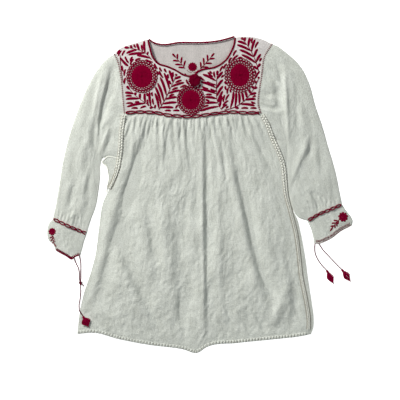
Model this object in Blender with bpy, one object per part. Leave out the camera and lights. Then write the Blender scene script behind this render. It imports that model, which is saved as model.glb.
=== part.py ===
"""A gathered cotton blouse with an embroidered yoke, laid flat on its back.

Metres, +Z up, +Y towards the neck. The origin is under the middle of the blouse, on the floor.
The tables of outlines, folds and cords are in millimetres.
"""
import math

import bmesh
import bpy
import numpy as np
from mathutils import Vector
from mathutils.bvhtree import BVHTree

MM = 0.001
WALL = 1.2 * MM
SEAM_GAP = 0.5 * MM
LAY_GAP = 0.3 * MM
EDGE_HEIGHT = 2 * WALL + LAY_GAP
LOFT = 3.4 * MM
LOFT_REACH = 26 * MM
NECK_LIFT = 2.6 * MM
NECK_REACH = 45 * MM
TIE_DIAMETER = 2.8 * MM

# Outlines of the flat blouse: x, y in millimetres, each running down or from left to right.
OUTLINES = {
    "shoulder_left": [(-209, 344), (-195, 358), (-178, 366), (-160, 371), (-129, 381)],
    "shoulder_right": [(90, 386), (114, 388), (134, 386), (153, 381), (178, 369)],
    "neck_front": [(-129, 381), (-124, 359), (-116, 334), (-102, 318), (-81, 311), (-62, 303),
                   (-36, 289), (-18, 287), (2, 301), (41, 310), (57, 319), (67, 328), (78, 345),
                   (87, 366), (90, 386)],
    "neck_back": [(-129, 381), (-113, 370), (-92, 365), (-49, 370), (1, 370), (33, 372),
                  (60, 377), (90, 386)],
    "armhole_left": [(-209, 344), (-202, 330), (-192, 285), (-187, 229), (-184, 200)],
    "armhole_right": [(178, 369), (160, 339), (153, 293), (146, 249), (144, 222), (150, 200)],
    "yoke_seam": [(-184, 200), (-140, 202), (-105, 200), (-81, 195), (-49, 192), (-20, 191),
                  (7, 194), (46, 199), (78, 202), (111, 200), (150, 200)],
    "body_left": [(-184, 200), (-190, 163), (-194, 107), (-197, 86), (-202, 58), (-212, 31),
                  (-225, 6), (-236, -18), (-246, -77), (-256, -151), (-268, -195),
                  (-283, -239), (-293, -283), (-300, -342)],
    "body_right": [(150, 200), (165, 175), (180, 136), (192, 109), (205, 72), (209, 36),
                   (213, -1), (221, -33), (236, -92), (244, -148), (249, -197), (261, -258),
                   (268, -307), (267, -344)],
    "side_edge_right": [(212, 70), (214, 40), (218, -1), (226, -33), (240, -60), (248, -92),
                        (259, -151), (267, -209), (276, -268), (280, -298), (278, -332),
                        (273, -343)],
    "hem": [(-300, -342), (-258, -339), (-200, -354), (-121, -369), (-43, -379), (-4, -388),
            (16, -375), (94, -364), (173, -356), (251, -347), (267, -344)],
    "sleeve_left_outer": [(-209, 344), (-227, 334), (-251, 305), (-276, 261), (-300, 202),
                          (-320, 143), (-334, 85), (-344, 26), (-354, -33), (-360, -59)],
    "sleeve_left_inner": [(-197, 86), (-219, 92), (-236, 89), (-243, 70), (-243, 50), (-247, 11),
                          (-255, -33), (-266, -62), (-276, -96)],
    "cuff_left_top": [(-360, -59), (-317, -79), (-276, -96)],
    "cuff_left_outer": [(-360, -59), (-370, -72), (-374, -92), (-371, -111), (-359, -123),
                        (-354, -136)],
    "cuff_left_inner": [(-276, -96), (-283, -116), (-288, -136), (-292, -149)],
    "cuff_left_mouth": [(-354, -136), (-342, -143), (-327, -151), (-312, -159), (-304, -153),
                        (-292, -149)],
    "sleeve_right_outer": [(178, 369), (192, 364), (212, 349), (232, 332), (251, 310), (268, 276),
                           (285, 217), (300, 173), (317, 114), (334, 55), (344, 6), (350, -24)],
    "sleeve_right_inner": [(180, 136), (197, 132), (207, 127), (213, 118), (214, 100),
                           (214, 72), (217, 40), (222, -1), (230, -33), (243, -54), (264, -65)],
    "cuff_right_top": [(350, -24), (322, -36), (293, -48), (264, -65)],
    "cuff_right_outer": [(350, -24), (359, -38), (371, -53), (376, -65), (374, -76)],
    "cuff_right_inner": [(264, -65), (273, -85), (278, -102), (281, -120)],
    "cuff_right_mouth": [(374, -76), (344, -92), (325, -107), (307, -116), (293, -121),
                         (281, -120)],
    "gusset_left_edge": [(-236, 86), (-238, 78), (-228, 70), (-224, 55), (-222, 40), (-226, 21),
                         (-228, 6)],
}

# Where body_left and body_right pass the armpits, and where the gussets end.
ARMPIT_LEFT_Y = 86 * MM
ARMPIT_RIGHT_Y = 136 * MM
GUSSET_LEFT_END_X = -234 * MM
GUSSET_LEFT_END_Y = (12 * MM, 8 * MM)
GUSSET_RIGHT_END_Y = 47 * MM
GUSSET_RIGHT_CORNER = (210 * MM, 124 * MM)
GUSSET_GAP = 1.4 * MM
GUSSET_CUT_GAP = 1.2 * MM
# The inner wall of a gusset's fold, as a share of its width.
FOLD_INSET = 0.93

# The strip of the back panel that shows at the right, and where the back panel turns into it.
SIDE_STRIP_TOP_Y = 20 * MM
SIDE_STRIP_END_Y = (-343.5 * MM, -343 * MM)
SIDE_TURN_Y = 34 * MM
# The back hem lies a little higher than the front one and has no point in the middle.
HEM_BACK_RISE = 4 * MM
HEM_BACK_LOWEST = -372 * MM

SEAM_TOP_Y = 200 * MM
# How the yoke's upper edge is shared out between shoulder, neck and shoulder.
NECK_SHARES = (0.22, 0.56, 0.22)
SHOULDER_STOPS = [0.0, 0.045, 0.09, 0.135, 0.18]
YOKE_SIDE_POWER = 5
# Rough width and length of each panel, which turn a gap into a share of the panel.
PANEL_SIZE = {"body": (0.4, 0.55), "side": (0.01, 0.37), "yoke_front": (0.33, 0.14),
              "yoke_back": (0.33, 0.16), "sleeve": (0.1, 0.35), "cuff": (0.09, 0.07),
              "gusset_left": (0.03, 0.07), "gusset_right": (0.03, 0.08)}
# The walls of a flattened tube, as a share of its width.
SLEEVE_WALL = 0.013
CUFF_WALL = 0.015

# The lines along which the front layer is folded down on the back layer.
FOLDED_EDGES = ["shoulder_left", "shoulder_right", "sleeve_left_outer", "sleeve_left_inner",
                "cuff_left_outer", "cuff_left_inner", "gusset_left_edge", "sleeve_right_outer",
                "sleeve_right_inner", "cuff_right_outer", "cuff_right_inner", "side_edge_right"]
OPEN_EDGES = ["hem", "cuff_left_mouth", "cuff_right_mouth"]
OPEN_EDGE_EASE = 14 * MM

# The largest folds of the front layer: start, middle and end of the crease, then its half width
# and its height, below zero for a trough, all in millimetres.
FOLDS = [
    # x0, y0, x1, y1, x2, y2, width, height
    (18, 178, 17, -13, 21, -366, 6, -2.6),
    (75, 182, 107, -13, 173, -263, 8, -3.0),
    (53, 158, 62, 72, 75, -13, 5, -1.6),
    (-116, 180, -153, 85, -200, -62, 10, -3.2),
    (-200, -62, -227, -173, -256, -283, 10, -3.2),
    (-202, -111, -153, -222, -97, -332, 9, -2.6),
    (-67, -1, -58, -111, -43, -283, 14, -2.2),
    (-9, -111, -16, -209, -36, -295, 11, -2.0),
    (-131, -1, -114, -124, -107, -173, 9, -2.0),
    (129, 165, 153, 109, 192, 36, 8, -2.4),
    (209, -136, 227, -209, 229, -307, 9, -2.4),
    (209, -222, 192, -283, 178, -320, 9, 2.6),
    (114, -271, 121, -303, 138, -337, 8, -2.0),
    (-219, 330, -222, 262, -251, 195, 8, -3.0),
    (-251, 195, -258, 140, -249, 100, 8, -3.0),
    (-312, 23, -320, -13, -327, -50, 8, -2.0),
    (-266, -4, -276, -33, -288, -62, 7, -2.0),
    (202, 317, 214, 207, 219, 80, 9, 3.0),
    (185, 281, 192, 240, 195, 207, 7, -2.4),
    (205, 330, 222, 315, 239, 300, 7, -2.2),
    (273, 143, 271, 116, 263, 89, 7, -3.0),
    (268, 138, 245, 70, 232, 35, 8, 2.6),
    (273, 6, 285, -16, 298, -38, 7, -2.0),
]
FOLD_STEPS = 12

GATHERS = 20
GATHER_COLUMNS = 3
GATHER_HEIGHT = 3.2 * MM
GATHER_START = 5 * MM
GATHER_FULL = 18 * MM
GATHER_REACH = 80 * MM

FLOWERS = {
    # centre x, centre y, radius, petals, height, in millimetres
    "flower_left": (-140, 289, 37, 14, 1.6),
    "flower_right": (100, 292, 38, 14, 1.6),
    "flower_middle": (-21, 231.5, 33, 14, 1.6),
}
BACK_FLOWER = (-17, 313, 11.5, 8, 1.0)
POMPOM = {"centre": (-12, 279), "radius": (15.5, 17), "height": 8.5}

# Routes of the cuff ties on the floor, then the places where one passes over another.
TIES = {
    "tie_left_a": [(-306.5, -158.4), (-303, -168), (-297, -181), (-294.6, -197), (-294.4, -208),
                   (-291.5, -217), (-287, -221), (-283.4, -225)],
    "tie_left_b": [(-293.6, -153), (-291.6, -166), (-291.2, -181), (-291.2, -197),
                   (-291.2, -209), (-291.3, -222), (-291.6, -239), (-293, -256), (-295.5, -273),
                   (-294, -285), (-289, -293), (-285, -298)],
    "tie_right_a": [(283.2, -120.5), (282.4, -131), (284.2, -146), (290, -159), (299, -172),
                    (312, -186)],
    "tie_right_b": [(293.2, -121.2), (302.5, -135.5), (315, -149), (332, -167), (349, -184)],
}
CROSSING = {"tie_left_b": (-291.3, -217.4)}
CROSSING_REACH = 10 * MM
TIE_STEP = 7 * MM

TASSELS = {
    # the tie that it hangs on, then its end's x and y and its half width in millimetres
    "tassel_left": ("tie_left_b", -271, -324, 11),
    "tassel_right_a": ("tie_right_a", 329, -219.5, 8.5),
    "tassel_right_b": ("tie_right_b", 371, -214, 8.5),
}
TASSEL_GAP = 0.75 * MM
TASSEL_STRANDS = (6, 3)
TASSEL_HEAD = {"length": 7 * MM, "width": 7 * MM, "depth": 5 * MM}
# The strands' ends draw in again by this share beyond this part of their length.
TASSEL_TIP_SHARE = 0.35
TASSEL_TIP_START = 0.6
STRAND_INSET = 0.28
STRAND_STEPS = 2

BINDING_RADIUS = 1.5 * MM
BAND_WIDTH = 9.5 * MM
BAND_THICKNESS = 1.0 * MM
SEAM_WIDTH = 6 * MM
SEAM_THICKNESS = 1.1 * MM
HEM_WIDTH = 7 * MM
HEM_RIBS = 40
HEM_THICKNESS = 1.1 * MM
RIB_HEIGHT = 0.6 * MM


def evenly(line, count):
    """Points spaced evenly along a line of points."""
    run = np.concatenate(([0.0], np.cumsum(np.linalg.norm(np.diff(line, axis=0), axis=1))))
    stops = np.linspace(0.0, run[-1], count)
    return np.column_stack([np.interp(stops, run, line[:, axis]) for axis in range(line.shape[1])])


def smooth(points, count=120):
    """Even points on a smooth curve through the given ones."""
    points = np.asarray(points, float)
    knots = np.concatenate(([0.0], np.cumsum(np.linalg.norm(np.diff(points, axis=0), axis=1))))
    slopes = np.gradient(points, knots, axis=0)
    stops = np.linspace(0.0, knots[-1], 12 * len(points))
    start = np.clip(np.searchsorted(knots, stops, side="right") - 1, 0, len(points) - 2)
    span = (knots[start + 1] - knots[start])[:, None]
    t = (stops - knots[start])[:, None] / span
    curve = ((2 * t**3 - 3 * t**2 + 1) * points[start] + (t**3 - 2 * t**2 + t) * span * slopes[start]
             + (3 * t**2 - 2 * t**3) * points[start + 1] + (t**3 - t**2) * span * slopes[start + 1])
    return evenly(curve, count)


LINES = {name: smooth(np.array(points) * MM) for name, points in OUTLINES.items()}


def between(name, top, bottom):
    """The part of a line that runs down from one height to another."""
    line = LINES[name]
    heights = np.linspace(top, bottom, 80)
    return evenly(np.column_stack([np.interp(-heights, -line[:, 1], line[:, 0]), heights]), 80)


def along(*parts, shares=None):
    """A function of 0 to 1 along lines joined end to end, each taking its share."""
    shares = shares or [1 / len(parts)] * len(parts)
    ends = np.concatenate(([0.0], np.cumsum(shares) / np.sum(shares)))

    def point(t):
        index = min(int(np.searchsorted(ends, t, side="right")) - 1, len(parts) - 1)
        local = (t - ends[index]) / (ends[index + 1] - ends[index])
        line = parts[index]
        place = min(max(local, 0.0), 1.0) * (len(line) - 1)
        low = min(int(place), len(line) - 2)
        return line[low] + (place - low) * (line[low + 1] - line[low])
    return point


def patch(top, bottom, left, right, side_power=1):
    """A function of u, from left to right, and v, from top to bottom, inside four borders.

    A higher side_power keeps the bends of the two sides near them.
    """
    def point(u, v):
        bend_left = left(v) - (1 - v) * left(0) - v * left(1)
        bend_right = right(v) - (1 - v) * right(0) - v * right(1)
        inside = (1 - v) * top(u) + v * bottom(u)
        return inside + (1 - u)**side_power * bend_left + u**side_power * bend_right
    return point


def inset(place, panel, gap=SEAM_GAP):
    """The same patch drawn in by half a seam gap on every side."""
    width, height = PANEL_SIZE[panel]
    edge_u = 0.5 * gap / width
    edge_v = 0.5 * gap / height
    return lambda u, v: place(edge_u + u * (1 - 2 * edge_u), edge_v + v * (1 - 2 * edge_v))


FOLDED = np.vstack([LINES[name] for name in FOLDED_EDGES] + [between("body_left", 6 * MM, -342 * MM)])
OPEN = np.vstack([LINES[name] for name in OPEN_EDGES])


def nearest(points, x, y):
    """Distance from x, y to the nearest of some points."""
    return math.sqrt(((points[:, 0] - x)**2 + (points[:, 1] - y)**2).min())


def fold_height(x, y):
    """What the folds add to the front layer at x, y."""
    total = 0.0
    for x0, y0, x1, y1, x2, y2, width, height in FOLDS:
        reach = 3.2 * width * MM
        if not min(x0, x1, x2) * MM - reach < x < max(x0, x1, x2) * MM + reach:
            continue
        t = np.linspace(0.0, 1.0, FOLD_STEPS)
        bend_x = 2 * x1 - 0.5 * (x0 + x2)
        bend_y = 2 * y1 - 0.5 * (y0 + y2)
        line_x = ((1 - t)**2 * x0 + 2 * t * (1 - t) * bend_x + t**2 * x2) * MM
        line_y = ((1 - t)**2 * y0 + 2 * t * (1 - t) * bend_y + t**2 * y2) * MM
        step_x, step_y = np.diff(line_x), np.diff(line_y)
        length = step_x**2 + step_y**2
        s = np.clip(((x - line_x[:-1]) * step_x + (y - line_y[:-1]) * step_y) / length, 0.0, 1.0)
        gaps = np.hypot(line_x[:-1] + s * step_x - x, line_y[:-1] + s * step_y - y)
        best = int(gaps.argmin())
        where = (best + s[best]) / (FOLD_STEPS - 1)
        taper = math.sin(math.pi * min(max(where, 0.0), 1.0))**0.7
        total += height * MM * taper * math.exp(-(gaps[best] / (width * MM))**2)
    return total


def front_height(x, y, extra=0.0):
    """Height of the front layer's underside: low at folded edges, lifted and creased inside."""
    away = min(nearest(FOLDED, x, y), nearest(OPEN, x, y) + OPEN_EDGE_EASE)
    inside = 1 - math.exp(-away / LOFT_REACH)
    lift = NECK_LIFT * math.exp(-(nearest(LINES["neck_front"], x, y) / NECK_REACH)**2) * inside
    height = LOFT * inside + lift + (fold_height(x, y) + extra) * inside
    floor = 0.25 * MM
    return WALL + LAY_GAP + (height if height > floor else floor * math.exp(height / floor - 1))


def material(name, colour, roughness):
    """A plain material with the cloth's or thread's colour."""
    made = bpy.data.materials.new(name)
    made.use_nodes = True
    shader = made.node_tree.nodes["Principled BSDF"]
    shader.inputs["Base Color"].default_value = (*colour, 1.0)
    shader.inputs["Roughness"].default_value = roughness
    shader.inputs["Metallic"].default_value = 0.0
    return made


def add_object(name, mesh, finish, collection):
    """Put a mesh in the collection under its node's name."""
    mesh.shade_smooth()
    mesh.set_sharp_from_angle(angle=math.radians(50))
    made = bpy.data.objects.new(name, mesh)
    mesh.materials.append(finish)
    collection.objects.link(made)
    return made


def cloth(name, finish, collection, columns, rows, faces, ring=False):
    """A wall of cloth on a grid; faces(u, v) gives a spot's inner point and its outer point."""
    bm = bmesh.new()
    bmesh.ops.create_grid(bm, x_segments=len(columns) - 1, y_segments=len(rows) - 1, size=0.5)
    across = bm.verts.layers.int.new("across")
    down = bm.verts.layers.int.new("down")
    for vert in bm.verts:
        vert[across] = round((vert.co.x + 0.5) * (len(columns) - 1))
        vert[down] = round((0.5 - vert.co.y) * (len(rows) - 1))
    if ring:
        first = {vert[down]: vert for vert in bm.verts if vert[across] == 0}
        last = len(columns) - 1
        doubles = {vert: first[vert[down]] for vert in bm.verts if vert[across] == last}
        bmesh.ops.weld_verts(bm, targetmap=doubles)
    for vert in bm.verts:
        vert.co = faces(columns[vert[across]], rows[vert[down]])[0]
    bmesh.ops.triangulate(bm, faces=bm.faces[:])
    walls = bmesh.ops.extrude_face_region(bm, geom=bm.faces[:])
    for vert in [item for item in walls["geom"] if isinstance(item, bmesh.types.BMVert)]:
        vert.co = faces(columns[vert[across]], rows[vert[down]])[1]
    bmesh.ops.recalc_face_normals(bm, faces=bm.faces[:])
    mesh = bpy.data.meshes.new(name)
    bm.to_mesh(mesh)
    bm.free()
    return add_object(name, mesh, finish, collection)


def steps(count, power=1.0):
    """Even stops from 0 to 1, closer near 0 when the power is over 1."""
    return [(index / count)**power for index in range(count + 1)]


def front_sheet(place, extra=None):
    """The two faces of a front panel."""
    def faces(u, v):
        x, y = place(u, v)
        low = front_height(x, y, extra(u, v, x, y) if extra else 0.0)
        return Vector((x, y, low)), Vector((x, y, low + WALL))
    return faces


def back_sheet(place):
    """The two faces of a panel that lies flat on the floor."""
    def faces(u, v):
        x, y = place(u, v)
        return Vector((x, y, WALL)), Vector((x, y, 0.0))
    return faces


# Stops shared by neighbours, so that the two sides of a seam have the same points.
ARMHOLE_STOPS = [0.0, 0.13, 0.27, 0.41, 0.55, 0.7, 0.86, 1.0]
BODY_STOPS = [0.0, 0.012, 0.035, 0.07, 0.12, 0.18, 0.24, 0.3, 0.36, 0.46, 0.58, 0.71, 0.85, 1.0]
ARMHOLE_SHARE = {"left": 0.57, "right": 0.7}
RING_EDGE = 0.012
CUFF_FRONT = [0.0, RING_EDGE, 0.1, 0.25, 0.4, 0.6, 0.75, 0.9, 1 - RING_EDGE, 1.0]
CUFF_BACK = [1 - RING_EDGE, 0.75, 0.5, 0.25, RING_EDGE]


def share_at(name, height):
    """How far along a line that runs down it passes a height, from 0 to 1."""
    line = LINES[name]
    return float(np.interp(-height, -line[:, 1], np.linspace(0.0, 1.0, len(line))))


def stops_between(name, top, bottom):
    """The body panels' stops between two heights, as shares of that part of the side line."""
    first, last = share_at(name, top), share_at(name, bottom)
    inner = [stop for stop in BODY_STOPS if first + 0.004 < stop < last - 0.004]
    return [0.0] + [(stop - first) / (last - first) for stop in inner] + [1.0]


def ring_columns(front, back):
    """Stops round a flattened tube: 0 to 1 over the front, then 1 to 2 back underneath."""
    return front + [2 - u for u in back] + [2.0]


def sleeve_columns(side, armpit):
    """A sleeve's stops: those of the yoke, then those of the body down to the armpit."""
    share = ARMHOLE_SHARE[side]
    seam = [share * stop for stop in ARMHOLE_STOPS]
    seam += [share + (1 - share) * stop for stop in stops_between(f"body_{side}", SEAM_TOP_Y, armpit)]
    inner = [stop for stop in sorted(set(seam)) if RING_EDGE < stop < 1 - RING_EDGE]
    front = [0.0, RING_EDGE] + inner + [1 - RING_EDGE, 1.0]
    return ring_columns(front, front[-2:0:-1])


def tube_sheet(place, wall_share):
    """The two faces of a flattened tube: the front layer above, the back layer on the floor."""
    def faces(u, v):
        over = u if u <= 1.0 else 2.0 - u
        x, y = place(over, v)
        inner_x, inner_y = place(wall_share + over * (1 - 2 * wall_share), v)
        if over in (0.0, 1.0):
            middle = 0.5 * EDGE_HEIGHT
            return Vector((inner_x, inner_y, middle)), Vector((x, y, middle))
        if u > 1.0:
            return Vector((inner_x, inner_y, WALL)), Vector((x, y, 0.0))
        low = min(front_height(x, y), front_height(inner_x, inner_y))
        return Vector((inner_x, inner_y, low)), Vector((x, y, low + WALL))
    return faces


def gather(u, v, x, y):
    """Small pleats below the yoke, deepest just under it and gone a hand's breadth lower."""
    below = max(along(LINES["yoke_seam"])(u)[1] - y, 0.0)
    if below <= GATHER_START:
        return 0.0
    grow = min((below - GATHER_START) / (GATHER_FULL - GATHER_START), 1.0)
    uneven = 0.7 + 0.3 * math.sin(2 * math.pi * (3.1 * u + 0.2))
    reach = GATHER_REACH * (0.8 + 0.35 * math.sin(2 * math.pi * (5.3 * u)))
    wave = 0.5 - 0.5 * math.cos(2 * math.pi * GATHERS * u)
    side = min(1.0, 12 * min(u, 1 - u))
    return GATHER_HEIGHT * grow * grow * (3 - 2 * grow) * math.exp(-below / reach) * uneven * wave * side


def make_body(finish, collection):
    """Front and back panels, and the strip of the back that shows beside the front seam."""
    top = along(LINES["yoke_seam"])
    front = patch(top, along(LINES["hem"]), along(LINES["body_left"]), along(LINES["body_right"]))
    columns = steps(GATHERS * GATHER_COLUMNS)
    cloth("body_front", finish, collection, columns, BODY_STOPS,
          front_sheet(inset(front, "body"), gather))
    turn = share_at("body_right", SIDE_TURN_Y)
    right = along(between("body_right", SEAM_TOP_Y, SIDE_TURN_Y), LINES["side_edge_right"],
                  shares=(turn, 1 - turn))
    hem_back = LINES["hem"].copy()
    hem_back[:, 1] = np.maximum(hem_back[:, 1] + HEM_BACK_RISE, HEM_BACK_LOWEST)
    hem_back[-1] = LINES["side_edge_right"][-1]
    hem_back[0] = LINES["body_left"][-1]
    back = patch(top, along(hem_back), along(LINES["body_left"]), right)
    cloth("body_back", finish, collection, steps(14), BODY_STOPS,
          back_sheet(inset(back, "body", 2 * SEAM_GAP)))
    strip_left = between("body_right", SIDE_STRIP_TOP_Y, SIDE_STRIP_END_Y[0])
    strip_right = between("side_edge_right", SIDE_STRIP_TOP_Y, SIDE_STRIP_END_Y[1])
    strip = patch(along(np.array([strip_left[0], strip_right[0]])),
                  along(np.array([strip_left[-1], strip_right[-1]])),
                  along(strip_left), along(strip_right))
    cloth("side_right", finish, collection, [0.0, 0.55, 1.0],
          stops_between("body_right", SIDE_STRIP_TOP_Y, SIDE_STRIP_END_Y[0]),
          front_sheet(inset(strip, "side")))


def make_yoke(finish, collection):
    """The embroidered yoke, front and back, with the shoulder edges lying on each other."""
    sides = (along(LINES["armhole_left"]), along(LINES["armhole_right"]))
    seam = along(LINES["yoke_seam"])
    shoulder_share, neck_share = NECK_SHARES[:2]
    front = patch(along(LINES["shoulder_left"], LINES["neck_front"], LINES["shoulder_right"],
                        shares=NECK_SHARES), seam, *sides, side_power=YOKE_SIDE_POWER)
    back = patch(along(LINES["shoulder_left"], LINES["neck_back"], LINES["shoulder_right"],
                       shares=NECK_SHARES), seam, *sides, side_power=YOKE_SIDE_POWER)

    def neck_columns(shoulder, count):
        left = shoulder + [shoulder_share]
        middle = [shoulder_share + neck_share * t for t in steps(count)[1:-1]]
        return left + middle + [1 - u for u in left[::-1]]

    cloth("yoke_front", finish, collection, neck_columns(SHOULDER_STOPS, 28), ARMHOLE_STOPS,
          front_sheet(inset(front, "yoke_front")))
    cloth("yoke_back", finish, collection, neck_columns(SHOULDER_STOPS[::2], 14), ARMHOLE_STOPS,
          back_sheet(inset(back, "yoke_back")))


def make_sleeves(finish, collection):
    """Two flattened sleeve tubes, each from its armhole to its cuff."""
    for side, armpit in (("left", ARMPIT_LEFT_Y), ("right", ARMPIT_RIGHT_Y)):
        share = ARMHOLE_SHARE[side]
        seam = along(LINES[f"armhole_{side}"], between(f"body_{side}", SEAM_TOP_Y, armpit),
                     shares=(share, 1 - share))
        place = patch(seam, along(LINES[f"cuff_{side}_top"]),
                      along(LINES[f"sleeve_{side}_outer"]), along(LINES[f"sleeve_{side}_inner"]))
        cloth(f"sleeve_{side}", finish, collection, sleeve_columns(side, armpit),
              steps(9, 1.25), tube_sheet(inset(place, "sleeve"), SLEEVE_WALL), ring=True)


def make_cuffs(finish, collection):
    """The cuffs, flattened tubes beyond the sleeves."""
    for side in ("left", "right"):
        place = patch(along(LINES[f"cuff_{side}_top"]), along(LINES[f"cuff_{side}_mouth"]),
                      along(LINES[f"cuff_{side}_outer"]), along(LINES[f"cuff_{side}_inner"]))
        cloth(f"cuff_{side}", finish, collection, ring_columns(CUFF_FRONT, CUFF_BACK), steps(5),
              tube_sheet(inset(place, "cuff"), CUFF_WALL), ring=True)


def make_gussets(finish, collection):
    """Underarm gussets, folded at the armpit: a front layer over a back one."""
    def half_tube(place):
        def faces(u, v):
            over = 1 - abs(2 * u - 1)
            x, y = place(over, v)
            inner_x, inner_y = place(over * FOLD_INSET, v)
            if over == 1.0:
                middle = 0.5 * EDGE_HEIGHT
                return Vector((inner_x, inner_y, middle)), Vector((x, y, middle))
            if u > 0.5:
                return Vector((inner_x, inner_y, WALL)), Vector((x, y, 0.0))
            low = front_height(x, y)
            return Vector((inner_x, inner_y, low)), Vector((x, y, low + WALL))
        return faces

    columns = [0.0, 0.25, 0.46, 0.5, 0.54, 0.75, 1.0]
    body_end, edge_end = GUSSET_LEFT_END_Y
    drop = np.array([0.0, GUSSET_GAP])
    inner = LINES["sleeve_left_inner"]
    top_left = inner[inner[:, 0] > GUSSET_LEFT_END_X] - drop
    edge = np.vstack([top_left[-1:], LINES["gusset_left_edge"][8:]])
    seam = between("body_left", ARMPIT_LEFT_Y - GUSSET_GAP, body_end)
    left = patch(along(evenly(np.vstack([seam[:1], top_left[2:]]), 40)),
                 along(np.array([between("body_left", body_end, edge_end)[0],
                                 between("gusset_left_edge", body_end, edge_end)[0]])),
                 along(seam), along(edge[edge[:, 1] > edge_end]))
    cloth("gusset_left", finish, collection, columns,
          stops_between("body_left", seam[0][1], seam[-1][1]),
          half_tube(inset(left, "gusset_left", GUSSET_CUT_GAP)))
    line = LINES["sleeve_right_inner"]
    corner = int(np.argmin(np.abs(line - np.array(GUSSET_RIGHT_CORNER)).sum(axis=1)))
    shift = np.array([-1.5 * GUSSET_GAP, -1.5 * GUSSET_GAP])
    below = line[(line[:, 1] > GUSSET_RIGHT_END_Y) & (np.arange(len(line)) >= corner)] + shift
    seam = between("body_right", ARMPIT_RIGHT_Y + shift[1], below[-1][1])
    right = patch(along(np.vstack([seam[:1], line[3:corner] + shift, below[:1]])),
                  along(np.array([seam[-1], below[-1]])), along(seam), along(evenly(below, 60)))
    cloth("gusset_right", finish, collection, columns,
          stops_between("body_right", seam[0][1], seam[-1][1]),
          half_tube(inset(right, "gusset_right", GUSSET_CUT_GAP)))


def tube(name, points, radius, sides, finish, collection):
    """A round cord along points, as a curve with filled caps."""
    data = bpy.data.curves.new(name, "CURVE")
    data.dimensions = "3D"
    data.bevel_depth = radius
    data.bevel_resolution = (sides - 4) // 2
    data.use_fill_caps = True
    spline = data.splines.new("POLY")
    spline.points.add(len(points) - 1)
    for spot, point in zip(spline.points, points):
        spot.co = (*point, 1.0)
    made = bpy.data.objects.new(name, data)
    data.materials.append(finish)
    collection.objects.link(made)
    return made


def beside(line, distance):
    """A line moved to its left side by a distance."""
    normal = np.column_stack([-np.gradient(line[:, 1]), np.gradient(line[:, 0])])
    normal /= np.linalg.norm(normal, axis=1)[:, None]
    return line + normal * distance


def make_binding(finish, collection):
    """The rolled binding round the neck, just outside the cut edges."""
    clear = BINDING_RADIUS + 1.2 * MM
    front = evenly(beside(evenly(LINES["neck_front"], 90), clear)[2:-2], 38)
    tube("binding_front", [(x, y, front_height(x, y) + 0.5 * WALL) for x, y in front],
         BINDING_RADIUS, 6, finish, collection)
    back = evenly(beside(evenly(LINES["neck_back"], 60), clear)[2:-2], 24)
    tube("binding_back", [(x, y, BINDING_RADIUS + 0.1 * MM) for x, y in back],
         BINDING_RADIUS, 6, finish, collection)


class Surface:
    """The upper side of the pieces made so far, for what lies on them."""

    def __init__(self, objects):
        graph = bpy.context.evaluated_depsgraph_get()
        graph.update()
        self.trees = [BVHTree.FromObject(item, graph) for item in objects]

    def height(self, x, y, spread=0.0):
        """The highest point at x, y, and within a small square round it."""
        highest = 0.0
        offsets = [(0.0, 0.0)]
        if spread:
            offsets += [(-spread, -spread), (spread, -spread), (-spread, spread), (spread, spread)]
        for dx, dy in offsets:
            for tree in self.trees:
                hit = tree.ray_cast(Vector((x + dx, y + dy, 0.1)), Vector((0, 0, -1)))[0]
                if hit:
                    highest = max(highest, hit.z)
        return highest


def strip(name, line, width, thickness, columns, surface, finish, collection, ribs=0, shift=0.0):
    """A narrow strip lying along a line on the surface, ribbed across if asked."""
    tangent = np.gradient(line, axis=0)
    tangent /= np.linalg.norm(tangent, axis=1)[:, None]
    normal = np.column_stack([-tangent[:, 1], tangent[:, 0]])
    line_at = along(line)
    normal_at = along(normal)

    def spot(u, v):
        return line_at(u) + normal_at(u) * ((0.5 - v) * width + shift)

    def faces(u, v):
        x, y = spot(u, v)
        near = [min(max(u + step / columns, 0.0), 1.0) for step in (-0.6, -0.3, 0.0, 0.3, 0.6)]
        low = max(surface.height(*spot(place, v), 0.4 * width) for place in near) + LAY_GAP
        rib = RIB_HEIGHT * (0.5 + 0.5 * math.cos(2 * math.pi * ribs * u)) if ribs else 0.0
        arch = 1.0 if v in (0.0, 1.0) else 1.45
        return Vector((x, y, low)), Vector((x, y, low + thickness * arch + rib))
    return cloth(name, finish, collection, steps(columns), [0.0, 0.5, 1.0], faces)


def make_trim(cotton, crimson, surface, collection):
    """Chain-stitched bands, crochet joining strips and the rolled hem."""
    strip("band_yoke", evenly(LINES["yoke_seam"], 90)[1:-1], BAND_WIDTH, BAND_THICKNESS, 26,
          surface, crimson, collection)
    for side in ("left", "right"):
        line = evenly(LINES[f"cuff_{side}_top"], 60)[3:-3]
        strip(f"band_cuff_{side}", line, BAND_WIDTH, BAND_THICKNESS, 10, surface, crimson,
              collection)
    half = 0.5 * BAND_WIDTH + 1.5 * MM
    strip("seam_left", between("body_left", SEAM_TOP_Y - half, 14 * MM), SEAM_WIDTH,
          SEAM_THICKNESS, 16, surface, cotton, collection)
    strip("seam_right", between("body_right", SEAM_TOP_Y - half, -330 * MM), SEAM_WIDTH,
          SEAM_THICKNESS, 30, surface, cotton, collection)
    strip("hem_front", evenly(LINES["hem"], 200)[1:-2], HEM_WIDTH, HEM_THICKNESS, 2 * HEM_RIBS,
          surface, cotton, collection, ribs=HEM_RIBS, shift=0.5 * HEM_WIDTH)


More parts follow.
